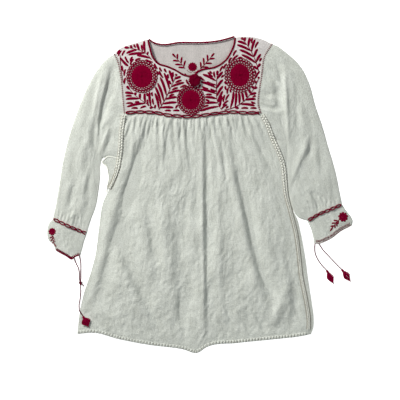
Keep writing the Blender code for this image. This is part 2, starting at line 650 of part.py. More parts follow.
def medallion(name, values, surface, finish, collection):
    """A raised embroidered flower: a flat dome with a scalloped edge."""
    x0, y0, radius, petals, height = values
    bm = bmesh.new()
    bmesh.ops.create_uvsphere(bm, u_segments=2 * petals, v_segments=6, radius=1.0)
    for vert in bm.verts:
        turn = math.atan2(vert.co.y, vert.co.x)
        reach = math.hypot(vert.co.x, vert.co.y)
        scallop = 1 + 0.035 * math.cos(petals * turn)
        x = (x0 + radius * reach * scallop * math.cos(turn)) * MM
        y = (y0 + radius * reach * scallop * math.sin(turn)) * MM
        low = surface.height(x, y, 2 * MM) + LAY_GAP
        rim = 0.35 * MM
        dome = rim + (height * MM - rim) * max(vert.co.z, 0.0)**0.5 if vert.co.z > -0.01 else 0.0
        vert.co = (x, y, low + dome)
    bmesh.ops.recalc_face_normals(bm, faces=bm.faces[:])
    mesh = bpy.data.meshes.new(name)
    bm.to_mesh(mesh)
    bm.free()
    return add_object(name, mesh, finish, collection)


def make_pompom(surface, finish, collection):
    """The knotted yarn pompom at the front of the neck: a squashed, knobbly ball."""
    x0, y0 = POMPOM["centre"]
    wide, tall = POMPOM["radius"]
    bm = bmesh.new()
    bmesh.ops.create_uvsphere(bm, u_segments=20, v_segments=9, radius=1.0)
    half = 0.5 * POMPOM["height"] * MM
    rest = 0.0
    for dx in np.linspace(-0.96, 0.96, 15):
        for dy in np.linspace(-0.96, 0.96, 15):
            if math.hypot(dx, dy) < 1.0:
                curl = half * (1 - math.sqrt(1 - dx**2 - dy**2))
                top = surface.height((x0 + wide * dx) * MM, (y0 + tall * dy) * MM)
                rest = max(rest, top - 0.9 * curl)
    for vert in bm.verts:
        turn = math.atan2(vert.co.y, vert.co.x)
        knob = 1 + 0.05 * math.cos(10 * turn) * (1 - vert.co.z**2)
        rise = (1 + vert.co.z) * half
        vert.co = ((x0 + wide * knob * vert.co.x) * MM, (y0 + tall * knob * vert.co.y) * MM,
                   rest + LAY_GAP + rise)
    mesh = bpy.data.meshes.new("neck_pompom")
    bm.to_mesh(mesh)
    bm.free()
    add_object("neck_pompom", mesh, finish, collection)


def tie_points(name, surface):
    """The centre line of a tie: on the floor, over the cloth's edge, and over another tie."""
    radius = 0.5 * TIE_DIAMETER
    line = smooth(np.array(TIES[name]) * MM)
    length = np.linalg.norm(np.diff(line, axis=0), axis=1).sum()
    line = evenly(line, max(8, round(length / TIE_STEP)) + 1)
    under = [surface.height(x, y, radius) for x, y in line]
    heights = []
    for index, (x, y) in enumerate(line):
        support = max(under[max(index - 1, 0):index + 2])
        lift = support + LAY_GAP if support else 0.1 * MM
        if name in CROSSING:
            cross_x, cross_y = CROSSING[name]
            off = math.hypot(x - cross_x * MM, y - cross_y * MM)
            hump = TIE_DIAMETER + 2.2 * LAY_GAP
            lift += hump * math.exp(-(off / CROSSING_REACH)**4)
        heights.append(lift + radius)
    return [(x, y, z) for (x, y), z in zip(line, heights)]


def make_tassel(name, values, surface, finish, collection):
    """A tassel: a small block of a head whose lower faces run out into separate strands."""
    tie, end_x, end_y, half_width = values[0], *(value * MM for value in values[1:])
    head_x, head_y = np.array(TIES[tie][-1]) * MM
    forward = Vector((end_x - head_x, end_y - head_y, 0.0))
    length = forward.length
    forward.normalize()
    sideways = Vector((-forward.y, forward.x, 0.0))
    wide, deep = TASSEL_STRANDS
    origin = Vector((head_x, head_y, 0.0)) + forward * TASSEL_GAP
    bm = bmesh.new()
    bmesh.ops.create_grid(bm, x_segments=wide, y_segments=deep, size=0.5)
    head = bmesh.ops.extrude_face_region(bm, geom=bm.faces[:])
    top = [item for item in head["geom"] if isinstance(item, bmesh.types.BMVert)]
    for vert in top:
        vert.co.z = -1.0
    roots = [face for face in bm.faces if all(abs(vert.co.z) < 1e-6 for vert in face.verts)]
    tips = bmesh.ops.inset_individual(bm, faces=roots, thickness=STRAND_INSET / (2 * wide),
                                      use_even_offset=False)
    tops = {vert: (vert.co.x, vert.co.y) for vert in top}
    spots = {vert: (vert.co.x, vert.co.y, 0.0) for vert in bm.verts if vert not in tops}
    for step in range(1, STRAND_STEPS + 1):
        out = bmesh.ops.extrude_discrete_faces(bm, faces=roots)
        roots = out["faces"]
        for face in roots:
            for vert in face.verts:
                spots[vert] = (vert.co.x, vert.co.y, step / STRAND_STEPS)

    base = max(surface.height(*(origin + forward * length * t + sideways * s * half_width)[:2])
               for t in (0.1, 0.4, 0.7, 1.0) for s in (-1, 0, 1))
    middle = base + LAY_GAP + 0.5 * TASSEL_HEAD["depth"] + 0.3 * MM
    tie_middle = base + LAY_GAP + 0.5 * TIE_DIAMETER

    def spread(t):
        grow = math.sin(math.pi * min(1.25 * t, 1.0) * 0.5)
        draw_in = TASSEL_TIP_SHARE * max(t - TASSEL_TIP_START, 0.0) / (1 - TASSEL_TIP_START)
        return TASSEL_HEAD["width"] + (2 * half_width - TASSEL_HEAD["width"]) * grow * (1 - draw_in)

    for vert, (across, up, t) in spots.items():
        run = TASSEL_HEAD["length"] + (length - TASSEL_HEAD["length"]) * t * (1 - 0.22 * across**2)
        side = across * spread(t)
        depth = TASSEL_HEAD["depth"] * (1 + 0.25 * t)
        place = origin + forward * run + sideways * side
        vert.co = (place.x, place.y, middle + up * depth * (1 - 0.15 * t))
    for vert, (across, up) in tops.items():
        place = origin + sideways * across * TASSEL_HEAD["width"] * 0.45
        vert.co = (place.x, place.y, tie_middle + up * TASSEL_HEAD["depth"] * 0.5)
    bmesh.ops.recalc_face_normals(bm, faces=bm.faces[:])
    mesh = bpy.data.meshes.new(name)
    bm.to_mesh(mesh)
    bm.free()
    add_object(name, mesh, finish, collection)


def main():
    """Build every solid of the blouse in one collection."""
    for item in list(bpy.data.objects):
        bpy.data.objects.remove(item)
    collection = bpy.data.collections.new("peasant_blouse")
    bpy.context.scene.collection.children.link(collection)
    cotton = material("cotton", (0.63, 0.66, 0.6), 0.9)
    crimson = material("crimson_thread", (0.18, 0.003, 0.02), 0.7)
    cord = material("tie_cord", (0.14, 0.03, 0.05), 0.8)
    make_body(cotton, collection)
    make_yoke(cotton, collection)
    make_sleeves(cotton, collection)
    make_cuffs(cotton, collection)
    make_gussets(cotton, collection)
    surface = Surface(collection.objects)
    make_trim(cotton, crimson, surface, collection)
    for name, values in FLOWERS.items():
        medallion(name, values, surface, crimson, collection)
    inside = Surface([bpy.data.objects["yoke_back"]])
    medallion("flower_back", BACK_FLOWER, inside, crimson, collection)
    make_binding(crimson, collection)
    make_pompom(Surface(collection.objects), crimson, collection)
    for name in TIES:
        tube(name, tie_points(name, surface), 0.5 * TIE_DIAMETER, 8, cord, collection)
    for name, values in TASSELS.items():
        make_tassel(name, values, surface, crimson, collection)


main()
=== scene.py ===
"""A gathered cotton blouse with an embroidered yoke: its cloth, stitching, trim and ties.

Metres, +Z up, +Y towards the neck. The tables are in millimetres.
"""
import math

import bpy
import numpy as np
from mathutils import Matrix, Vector
from mathutils.bvhtree import BVHTree


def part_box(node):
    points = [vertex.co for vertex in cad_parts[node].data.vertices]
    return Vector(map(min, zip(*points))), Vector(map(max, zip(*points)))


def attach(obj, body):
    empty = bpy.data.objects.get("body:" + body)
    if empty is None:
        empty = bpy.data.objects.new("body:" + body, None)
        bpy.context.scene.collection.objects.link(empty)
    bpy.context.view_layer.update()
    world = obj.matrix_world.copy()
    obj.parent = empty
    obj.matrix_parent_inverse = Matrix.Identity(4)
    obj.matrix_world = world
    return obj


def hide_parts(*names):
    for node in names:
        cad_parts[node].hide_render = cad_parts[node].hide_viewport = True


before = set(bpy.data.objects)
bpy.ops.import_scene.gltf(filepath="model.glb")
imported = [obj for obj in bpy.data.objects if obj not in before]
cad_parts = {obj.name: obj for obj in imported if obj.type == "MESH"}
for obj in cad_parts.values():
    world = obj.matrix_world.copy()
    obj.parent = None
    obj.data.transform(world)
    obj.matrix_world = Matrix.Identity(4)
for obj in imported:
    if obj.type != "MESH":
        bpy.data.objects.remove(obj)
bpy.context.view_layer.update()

MM = 0.001
TURN = 2 * math.pi
TINY = 1e-12  # keeps a division by a length from failing
UP = np.array([0.0, 0.0, 1.0])
WALL = 1.2 * MM
SEAM_GAP = 0.1 * MM
LAY_GAP = 0.3 * MM
EDGE_HEIGHT = 2 * WALL + LAY_GAP
LOFT = 4.6 * MM
LOFT_REACH = 26 * MM
LEAST_LIFT = 0.25 * MM
NECK_LIFT = 2.6 * MM
NECK_REACH = 45 * MM
TIE_DIAMETER = 2.8 * MM

# Outlines of the flat blouse: x, y, each running down or from left to right.
OUTLINES = {
    "shoulder_left": [(-209, 344), (-195, 358), (-178, 366), (-160, 371), (-129, 381)],
    "shoulder_right": [(90, 386), (114, 388), (134, 386), (153, 381), (178, 369)],
    "neck_front": [(-129, 381), (-124, 359), (-116, 334), (-102, 318), (-81, 311), (-62, 303),
                   (-36, 289), (-18, 287), (2, 301), (41, 310), (57, 319), (67, 328), (78, 345),
                   (87, 366), (90, 386)],
    "neck_back": [(-129, 381), (-113, 370), (-92, 365), (-49, 370), (1, 370), (33, 372),
                  (60, 377), (90, 386)],
    "armhole_left": [(-209, 344), (-202, 330), (-192, 285), (-187, 229), (-184, 200)],
    "armhole_right": [(178, 369), (160, 339), (153, 293), (146, 249), (144, 222), (150, 200)],
    "yoke_seam": [(-184, 200), (-140, 202), (-105, 200), (-81, 195), (-49, 192), (-20, 191),
                  (7, 194), (46, 199), (78, 202), (111, 200), (150, 200)],
    "body_left": [(-184, 200), (-190, 163), (-194, 107), (-197, 86), (-202, 58), (-212, 31),
                  (-225, 6), (-236, -18), (-246, -77), (-256, -151), (-268, -195),
                  (-283, -239), (-293, -283), (-300, -342)],
    "body_right": [(150, 200), (165, 175), (180, 136), (192, 109), (205, 72), (209, 36),
                   (213, -1), (221, -33), (236, -92), (244, -148), (249, -197), (261, -258),
                   (268, -307), (267, -344)],
    "side_edge_right": [(212, 70), (214, 40), (218, -1), (226, -33), (240, -60), (248, -92),
                        (259, -151), (267, -209), (276, -268), (280, -298), (278, -332),
                        (273, -343)],
    "hem": [(-300, -342), (-258, -339), (-200, -354), (-121, -369), (-43, -379), (-4, -388),
            (16, -375), (94, -364), (173, -356), (251, -347), (267, -344)],
    "sleeve_left_outer": [(-209, 344), (-227, 334), (-251, 305), (-276, 261), (-300, 202),
                          (-320, 143), (-334, 85), (-344, 26), (-354, -33), (-360, -59)],
    "sleeve_left_inner": [(-197, 86), (-219, 92), (-236, 89), (-243, 70), (-243, 50),
                          (-247, 11), (-255, -33), (-266, -62), (-276, -96)],
    "cuff_left_top": [(-360, -59), (-317, -79), (-276, -96)],
    "cuff_left_outer": [(-360, -59), (-370, -72), (-374, -92), (-371, -111), (-359, -123),
                        (-354, -136)],
    "cuff_left_inner": [(-276, -96), (-283, -116), (-288, -136), (-292, -149)],
    "cuff_left_mouth": [(-354, -136), (-342, -143), (-327, -151), (-312, -159), (-304, -153),
                        (-292, -149)],
    "sleeve_right_outer": [(178, 369), (192, 364), (212, 349), (232, 332), (251, 310),
                           (268, 276), (285, 217), (300, 173), (317, 114), (334, 55), (344, 6),
                           (350, -24)],
    "sleeve_right_inner": [(180, 136), (197, 132), (207, 127), (213, 118), (214, 100),
                           (214, 72), (215.5, 40), (219.5, -1), (227.5, -33), (241.5, -56),
                           (264, -65)],
    "cuff_right_top": [(350, -24), (322, -36), (293, -48), (264, -65)],
    "cuff_right_outer": [(350, -24), (359, -38), (371, -53), (376, -65), (374, -76)],
    "cuff_right_inner": [(264, -65), (273, -85), (278, -102), (281, -120)],
    "cuff_right_mouth": [(374, -76), (344, -92), (325, -107), (307, -116), (293, -121),
                         (281, -120)],
    "gusset_left_edge": [(-236, 86), (-238, 78), (-228, 70), (-224, 55), (-222, 40), (-226, 21),
                         (-228, 6)],
}
GUSSET_LEFT_END_Y = 12 * MM
ARMPIT_Y = {"left": 86 * MM, "right": 136 * MM}
GUSSET_RIGHT_END_Y = 47 * MM
SIDE_STRIP_TOP_Y = 20 * MM
GUSSET_GAP = -0.6 * MM
FOLD_INSET = 0.93
ARMHOLE_SHARE = {"left": 0.57, "right": 0.7}
NECK_SHARES = (0.22, 0.56, 0.22)
YOKE_SIDE_POWER = 5

FOLDED_EDGES = [name for name in OUTLINES if name.startswith(("shoulder", "side_edge", "gusset"))
                or name.endswith(("_outer", "_inner"))]
OPEN_EDGES = ["hem", "cuff_left_mouth", "cuff_right_mouth"]
OPEN_EDGE_EASE = 14 * MM

# The large folds, as in the solids: start, middle and end of the crease, half width and height.
FOLDS = [
    (18, 178, 17, -13, 21, -366, 6, -2.6), (75, 182, 107, -13, 173, -263, 8, -3.0),
    (53, 158, 62, 72, 75, -13, 5, -1.6), (-116, 180, -153, 85, -200, -62, 10, -3.2),
    (-200, -62, -227, -173, -256, -283, 10, -3.2), (-202, -111, -153, -222, -97, -332, 9, -2.6),
    (-67, -1, -58, -111, -43, -283, 14, -2.2), (-9, -111, -16, -209, -36, -295, 11, -2.0),
    (-131, -1, -114, -124, -107, -173, 9, -2.0), (129, 165, 153, 109, 192, 36, 8, -2.4),
    (209, -136, 227, -209, 229, -307, 9, -2.4), (209, -222, 192, -283, 178, -320, 9, 2.6),
    (114, -271, 121, -303, 138, -337, 8, -2.0), (-219, 330, -222, 262, -251, 195, 8, -3.0),
    (-251, 195, -258, 140, -249, 100, 8, -3.0), (-312, 23, -320, -13, -327, -50, 8, -2.0),
    (-266, -4, -276, -33, -288, -62, 7, -2.0), (202, 317, 214, 207, 219, 80, 9, 3.0),
    (185, 281, 192, 240, 195, 207, 7, -2.4), (205, 330, 222, 315, 239, 300, 7, -2.2),
    (273, 143, 271, 116, 263, 89, 7, -3.0), (268, 138, 245, 70, 232, 35, 8, 2.6),
    (273, 6, 285, -16, 298, -38, 7, -2.0),
]
# Finer creases in the same form, which the solids don't have.
CREASES = [
    (-212, 300, -238, 205, -247, 112, 3.5, -2.6), (-208, 332, -230, 232, -247, 170, 6, -2.6),
    (-214, 152, -225, 122, -237, 94, 4, -2.2), (272, 8, 288, -14, 306, -38, 4, -2.2),
    (112, -10, 140, -160, 184, -300, 9, -2.8), (108, -255, 136, -290, 158, -338, 5, -2.4),
    (62, -270, 74, -300, 88, -335, 5, -2.2), (94, -285, 108, -310, 124, -338, 4, -2.0),
    (-140, 130, -192, -60, -246, -250, 16, -3.2), (-185, 60, -222, -60, -262, -200, 12, 1.8),
    (-190, -120, -143, -222, -92, -336, 12, -1.8), (-165, -110, -120, -210, -70, -320, 15, 2.6),
    (-225, -120, -205, -200, -180, -300, 17, 2.8), (-48, -20, -40, -150, -42, -310, 19, -2.4),
    (-6, -60, -4, -200, 2, -340, 10, 2.4), (8, 40, 9, -150, 12, -350, 4, 1.8),
    (130, 0, 162, -120, 204, -250, 15, 2.8), (78, -20, 108, -140, 150, -280, 13, 2.0),
    (246, -190, 240, -260, 226, -330, 10, -2.4), (158, 246, 176, 241, 198, 232, 5, -1.3),
    (153, 230, 168, 225, 184, 225, 3, -1.0), (156, 215, 182, 208, 210, 214, 4, -1.5),
    (168, 320, 185, 300, 205, 282, 4, -1.8), (-230, 82, -231, 60, -232, 25, 3, -1.4),
    (-45, -225, -48, -275, -46, -325, 7, -2.4), (44, -62, 47, -170, 52, -300, 9, 2.0),
    (97, 60, 125, -50, 178, -249, 10, -2.2), (140, -168, 166, -222, 184, -247, 7, -2.4),
    (227, -183, 210, -250, 185, -322, 9, 1.8), (-150, -20, -138, -110, -120, -200, 12, 1.8),
    (-225, -60, -205, -150, -150, -290, 12, 1.8), (-20, -60, -18, -160, -4, -260, 10, 1.6),
    (48, -309, 60, -330, 72, -350, 4, -1.6), (150, -309, 156, -326, 163, -340, 4, -1.4),
    (120, -250, 135, -290, 150, -330, 6, 1.5), (-262, -230, -240, -270, -215, -300, 5, -1.6),
    (-285, -285, -262, -305, -240, -330, 4, -1.4), (-250, -180, -235, -215, -212, -240, 4, -1.3),
    (225, -260, 240, -290, 255, -320, 4, -1.4), (236, -205, 245, -240, 254, -275, 4, 1.2),
    (-226, 338, -247, 262, -263, 165, 5, 3.2), (-262, 300, -286, 210, -306, 110, 9, 2.2),
    (-262, 70, -270, 30, -282, -20, 5, -1.8), (-300, 60, -312, 10, -318, -30, 5, -1.6),
    (-330, 40, -338, 0, -343, -45, 5, -1.6), (150, 300, 172, 285, 200, 270, 5, -1.8),
    (160, 240, 182, 246, 205, 236, 5, -1.6), (182, 330, 196, 300, 204, 262, 5, -1.8),
    (208, 322, 215, 182, 221, 36, 4, 2.6), (232, 300, 240, 220, 238, 140, 6, -1.6),
    (290, 160, 296, 100, 300, 40, 6, -1.6), (318, 60, 326, 20, 330, -20, 5, -1.5),
    (-77, 183, -80, 133, -89, 72, 4, -1.2), (-31, 183, -31, 134, -26, 85, 4, -1.2),
    (107, 183, 112, 165, 118, 146, 4, -1.0), (55, -283, 66, -308, 77, -332, 5, -1.3),
    (94, -303, 100, -318, 107, -332, 4, -1.3), (-219, -303, -204, -325, -185, -344, 5, -1.4),
    (-151, -303, -142, -325, -131, -344, 4, -1.2), (-221, 168, -233, 135, -246, 98, 3.5, 2.4),
    (266, 109, 240, 50, 221, -2, 5, -2.2), (288, 4, 303, -12, 318, -27, 4, -2.2),
    (229, -4, 243, -28, 264, -53, 4, -2.2), (143, 214, 170, 212, 197, 210, 3, -1.0),
    (-160, 140, -170, 60, -178, -20, 5, 1.0), (40, 60, 46, -60, 60, -190, 7, 1.1),
    (-100, 60, -92, -60, -88, -200, 8, 1.0), (130, -60, 150, -160, 180, -250, 8, 1.2),
    (-20, 40, -22, -40, -30, -130, 6, 1.0), (-300, 150, -310, 80, -318, 20, 6, -1.0),
    (-276, 150, -285, 80, -290, 10, 7, 1.2), (250, 250, 268, 190, 284, 130, 6, -1.1),
    (232, 270, 246, 210, 256, 150, 6, 1.1),
]
FOLD_STEPS = 14
# A trough falls steeply on its left, below a raised lip, and rises slowly on its right.
TROUGH_LEFT = 0.75
TROUGH_RIGHT = 1.5
TROUGH_LIP = 0.6
LIP_PLACE = 1.5
LIP_WIDTH = 1.1
FOLD_DEPTH = 1.4
FOLD_SPREAD = 1.25
FOLD_REACH = 3.2
CRINKLE_DEPTH = 1.6

GATHERS = 20
GATHER_HEIGHT = 3.4 * MM
GATHER_START = 5 * MM
GATHER_FULL = 18 * MM
GATHER_REACH = 105 * MM

RANDOM = np.random.default_rng(31)
LATTICE = RANDOM.random((256, 256))


def steps(line):
    """The distance from each point of a line to the next."""
    return np.linalg.norm(np.diff(line, axis=0), axis=1)


def run_of(line):
    """How far along a line each of its points is."""
    return np.concatenate(([0.0], np.cumsum(steps(line))))


def unit(vector):
    """A vector's direction."""
    return vector / np.linalg.norm(vector)


def units(rows):
    """The direction of each row."""
    return rows / np.linalg.norm(rows, axis=1)[:, None]


def heading(angle):
    """The flat direction at an angle."""
    return np.array([math.cos(angle), math.sin(angle)])


def sample(line, run, stops):
    """Points of a line where its run has the given values."""
    return np.stack([np.interp(stops, run, line[:, axis]) for axis in range(line.shape[1])], -1)


def evenly(line, count):
    """Points spaced evenly along a line of points."""
    run = run_of(line)
    return sample(line, run, np.linspace(0.0, run[-1], count))


def smooth(points, count=120):
    """Even points on a smooth curve through the given ones."""
    knots = run_of(points)
    slopes = np.gradient(points, knots, axis=0)
    stops = np.linspace(0.0, knots[-1], 12 * len(points))
    start = np.clip(np.searchsorted(knots, stops, side="right") - 1, 0, len(points) - 2)
    span = (knots[start + 1] - knots[start])[:, None]
    t = (stops - knots[start])[:, None] / span
    curve = ((2 * t**3 - 3 * t**2 + 1) * points[start] + (t**3 - 2 * t**2 + t) * span * slopes[start]
             + (3 * t**2 - 2 * t**3) * points[start + 1] + (t**3 - t**2) * span * slopes[start + 1])
    return evenly(curve, count)


LINES = {name: smooth(np.array(points) * MM) for name, points in OUTLINES.items()}


def between(name, top, bottom):
    """The part of a line that runs down from one height to another."""
    line = LINES[name]
    heights = np.linspace(top, bottom, 80)
    return evenly(np.column_stack([np.interp(-heights, -line[:, 1], line[:, 0]), heights]), 80)


def along(*parts, shares=None):
    """A function of 0 to 1 along lines joined end to end, each taking its share."""
    shares = shares or [1 / len(parts)] * len(parts)
    ends = np.concatenate(([0.0], np.cumsum(shares) / np.sum(shares)))
    stops = [np.linspace(ends[i], ends[i + 1], len(part)) for i, part in enumerate(parts)]
    stops = np.concatenate([stops[0]] + [stop[1:] for stop in stops[1:]])
    line = np.concatenate([parts[0]] + [part[1:] for part in parts[1:]])

    return lambda t: sample(line, stops, t)


def edge(name):
    """A function of 0 to 1 along one of the outlines."""
    return along(LINES[name])


def patch(top, bottom, left, right, side_power=1):
    """A function of u, from left to right, and v, from top to bottom, inside four borders."""
    def point(u, v):
        column, row = u[:, None], v[:, None]
        bend_left = left(v) - (1 - row) * left(0.0) - row * left(1.0)
        bend_right = right(v) - (1 - row) * right(0.0) - row * right(1.0)
        inside = (1 - row) * top(u) + row * bottom(u)
        return inside + (1 - column)**side_power * bend_left + column**side_power * bend_right
    return point


def inset(place, width, height, gap=SEAM_GAP):
    """The same patch drawn in by half a seam gap on every side."""
    edge_u = 0.5 * gap / width
    edge_v = 0.5 * gap / height
    return lambda u, v: place(edge_u + u * (1 - 2 * edge_u), edge_v + v * (1 - 2 * edge_v))


FOLDED = np.vstack([LINES[name] for name in FOLDED_EDGES] + [between("body_left", 6 * MM, -342 * MM)])
OPEN = np.vstack([LINES[name] for name in OPEN_EDGES])


def distance(points, spots):
    """From each spot to the nearest of some points."""
    result = np.empty(len(spots))
    for start in range(0, len(spots), 2048):
        part = spots[start:start + 2048]
        gap = (points[None, :, 0] - part[:, None, 0])**2 + (points[None, :, 1] - part[:, None, 1])**2
        result[start:start + 2048] = np.sqrt(gap.min(axis=1))
    return result


def fold_height(spots, folds):
    """What the folds add to the front layer at each spot."""
    total = np.zeros(len(spots))
    t = np.linspace(0.0, 1.0, FOLD_STEPS)
    for x0, y0, x1, y1, x2, y2, width, height in folds:
        bend = np.array([2 * x1 - 0.5 * (x0 + x2), 2 * y1 - 0.5 * (y0 + y2)])
        line = (np.outer((1 - t)**2, (x0, y0)) + np.outer(2 * t * (1 - t), bend)
                + np.outer(t**2, (x2, y2))) * MM
        width = FOLD_SPREAD * width * MM
        reach = FOLD_REACH * width
        near = np.all((spots > line.min(axis=0) - reach) & (spots < line.max(axis=0) + reach), axis=1)
        if not near.any():
            continue
        part = spots[near]
        step = np.diff(line, axis=0)
        offset = part[:, None, :] - line[None, :-1, :]
        s = np.clip((offset * step).sum(-1) / (step**2).sum(-1), 0.0, 1.0)
        gaps = np.linalg.norm(offset - s[..., None] * step, axis=-1)
        best = gaps.argmin(axis=1)
        rows = np.arange(len(part))
        where = (best + s[rows, best]) / (FOLD_STEPS - 1)
        taper = np.sin(math.pi * np.clip(where, 0.0, 1.0))**0.7
        away = gaps[rows, best] / width
        if height < 0:
            turned = step[best, 0] * offset[rows, best, 1] - step[best, 1] * offset[rows, best, 0]
            away = away * np.where(turned < 0, -1.0, 1.0)
            valley = np.exp(-(away / np.where(away < 0, TROUGH_LEFT, TROUGH_RIGHT))**2)
            profile = valley - TROUGH_LIP * np.exp(-((away + LIP_PLACE) / LIP_WIDTH)**2)
        else:
            profile = np.exp(-away**2)
        total[near] += FOLD_DEPTH * height * MM * taper * profile
    return total


def front_height(spots, extra=0.0, folds=tuple(FOLDS)):
    """Height of the front layer's underside: low at folded edges, lifted and creased inside."""
    away = np.minimum(distance(FOLDED, spots), distance(OPEN, spots) + OPEN_EDGE_EASE)
    inside = 1 - np.exp(-away / LOFT_REACH)
    lift = NECK_LIFT * np.exp(-(distance(LINES["neck_front"], spots) / NECK_REACH)**2) * inside
    height = LOFT * inside + lift + (fold_height(spots, folds) + extra) * inside
    low = LEAST_LIFT * np.exp(np.minimum(height / LEAST_LIFT - 1, 0.0))
    return WALL + LAY_GAP + np.where(height > LEAST_LIFT, height, low)


def noise(x, y, shift=0):
    """Smooth noise from 0 to 1 with one cell per unit."""
    column, row = np.floor(x).astype(int), np.floor(y).astype(int)
    s, t = x - column, y - row
    s, t = s * s * (3 - 2 * s), t * t * (3 - 2 * t)

    def value(right, down):
        return LATTICE[(column + right + 17 * shift) % 256, (row + down + 29 * shift) % 256]
    top = value(0, 0) * (1 - s) + value(1, 0) * s
    bottom = value(0, 1) * (1 - s) + value(1, 1) * s
    return top * (1 - t) + bottom * t


def crinkle(across, down, shift):
    """The gauze's own small creases, which run down the cloth."""
    drift = 9 * MM * noise(across / (34 * MM), down / (60 * MM), shift + 5)
    fine = noise((across + drift) / (4.2 * MM), down / (22 * MM), shift)
    middle = noise((across + drift) / (10 * MM), down / (45 * MM), shift + 1)
    wide = noise(across / (34 * MM), down / (52 * MM), shift + 2)
    small = noise(across / (3.1 * MM), down / (4.6 * MM), shift + 3)
    slant = noise((across + 0.6 * down) / (7 * MM), (down - 0.6 * across) / (16 * MM), shift + 4)
    waves = (0.35 * (fine - 0.5) + 0.55 * (middle - 0.5) + 2.6 * (wide - 0.5)
             + 0.5 * (small - 0.5) + 0.6 * (slant - 0.5))
    return CRINKLE_DEPTH * MM * waves


def small_pleats():
    """Short creases just below the yoke, where the fullness is drawn in."""
    random = np.random.default_rng(5)
    pleats = []
    for x in np.arange(-178, 146, 7.0):
        start = x + random.uniform(-2.0, 2.0)
        length = random.uniform(14, 62)
        spread = 0.0022 * (x + 15) * length
        lean = random.uniform(-2.5, 2.5)
        top = 192 + random.uniform(-2, 2)
        pleats.append((start, top, start + 0.5 * spread + lean, top - 0.5 * length,
                       start + spread, top - length, random.uniform(2.0, 3.2),
                       -random.uniform(0.7, 1.4)))
    return pleats


def cuff_pleats():
    """Short creases where the sleeves' fullness is drawn in above the cuffs."""
    random = np.random.default_rng(8)
    pleats = []
    for side in ("left", "right"):
        top = LINES[f"cuff_{side}_top"] / MM
        rise = unit(LINES[f"sleeve_{side}_outer"][-30] - LINES[f"sleeve_{side}_outer"][-1])
        for spot in evenly(top, 13)[1:-1]:
            length = random.uniform(16, 48)
            lean = random.uniform(-0.25, 0.25) * np.array([-rise[1], rise[0]])
            start, end = spot + random.uniform(1, 4) * rise, spot + (rise + lean) * length
            pleats.append((*start, *(0.5 * (start + end)), *end, random.uniform(2.4, 3.4),
                           -random.uniform(1.2, 2.2)))
    return pleats


def gather(u, down):
    """Pleats below the yoke, deepest just under it and gone a hand's breadth lower."""
    grow = np.clip((down - GATHER_START) / (GATHER_FULL - GATHER_START), 0.0, 1.0)
    uneven = 0.7 + 0.3 * np.sin(TURN * (3.1 * u + 0.2))
    reach = GATHER_REACH * (0.8 + 0.35 * np.sin(TURN * (5.3 * u)))
    wave = (0.5 - 0.5 * np.cos(TURN * GATHERS * u))**1.4
    drift = 0.5 * noise(u * 9, down / (40 * MM), 7)
    small = 0.75 * noise(u * 62 + drift, down / (60 * MM), 8)**1.5 * np.exp(-down / (45 * MM))
    side = np.minimum(1.0, 12 * np.minimum(u, 1 - u))
    fade = np.exp(-np.maximum(down, 0.0) / reach)
    return GATHER_HEIGHT * grow * grow * (3 - 2 * grow) * fade * uneven * (wave + small) * side


SHARP_ANGLE = math.radians(50)


def add_object(name, data):
    """A new object in the scene."""
    made = bpy.data.objects.new(name, data)
    bpy.context.scene.collection.objects.link(made)
    return made


class Piece:
    """Vertices, faces and cloth coordinates collected for one object."""

    def __init__(self):
        self.verts = []
        self.faces = []
        self.places = []
        self.count = 0

    def add(self, verts, faces, places):
        """Add a part; places are metres across and along the cloth or the stitches."""
        self.verts.append(np.asarray(verts, float))
        self.places.append(np.asarray(places, float))
        self.faces.extend(tuple(index + self.count for index in face) for face in faces)
        self.count += len(verts)

    def make(self, name, finish, *nodes):
        """Make the object, which rides on the blouse and stands for the named nodes."""
        material, slot = finish
        places = np.concatenate(self.places).astype(np.float32)
        mesh = bpy.data.meshes.new(name)
        mesh.from_pydata(np.concatenate(self.verts).tolist(), [], self.faces)
        layer = mesh.uv_layers.new(name="cloth")
        index = np.empty(len(mesh.loops), int)
        mesh.loops.foreach_get("vertex_index", index)
        layer.data.foreach_set("uv", places[index].ravel())
        mesh.shade_smooth()
        mesh.set_sharp_from_angle(angle=SHARP_ANGLE)
        mesh.materials.append(material)
        made = add_object(name, mesh)
        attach(made, "root")
        if nodes:
            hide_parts(*nodes)
        return made


def grid_faces(columns, rows, ring=False):
    """Quads of a grid whose rows run down, seen from above."""
    wide = columns if ring else columns - 1
    faces = []
    for row in range(rows - 1):
        for column in range(wide):
            right = (column + 1) % columns
            faces.append((row * columns + column, (row + 1) * columns + column,
                          (row + 1) * columns + right, row * columns + right))
    return faces


def grid(columns, rows):
    """Flat arrays of u and v over a grid."""
    u, v = np.meshgrid(np.linspace(0, 1, columns), np.linspace(0, 1, rows))
    return u.ravel(), v.ravel()


def cloth(name, finish, shape, size, spots, z, wall=0.0):
    """A sheet of cloth on a grid of points; a wall turns its cut edges down by its thickness."""
    columns, rows = shape
    points = np.column_stack([spots, z])
    places = np.column_stack(grid(*shape)) * size
    piece = Piece()
    piece.add(points, grid_faces(*shape), places)
    if wall:
        index = np.arange(columns * rows).reshape(rows, columns)
        border = np.concatenate([index[0, :], index[1:, -1], index[-1, -2::-1], index[-2:0:-1, 0]])
        count = len(border)
        faces = [(i, (i + 1) % count, count + (i + 1) % count, count + i) for i in range(count)]
        piece.add(np.concatenate([points[border], points[border] - wall * UP]), faces,
                  np.concatenate([places[border]] * 2))
    return piece.make(name + "_cloth", finish, name)


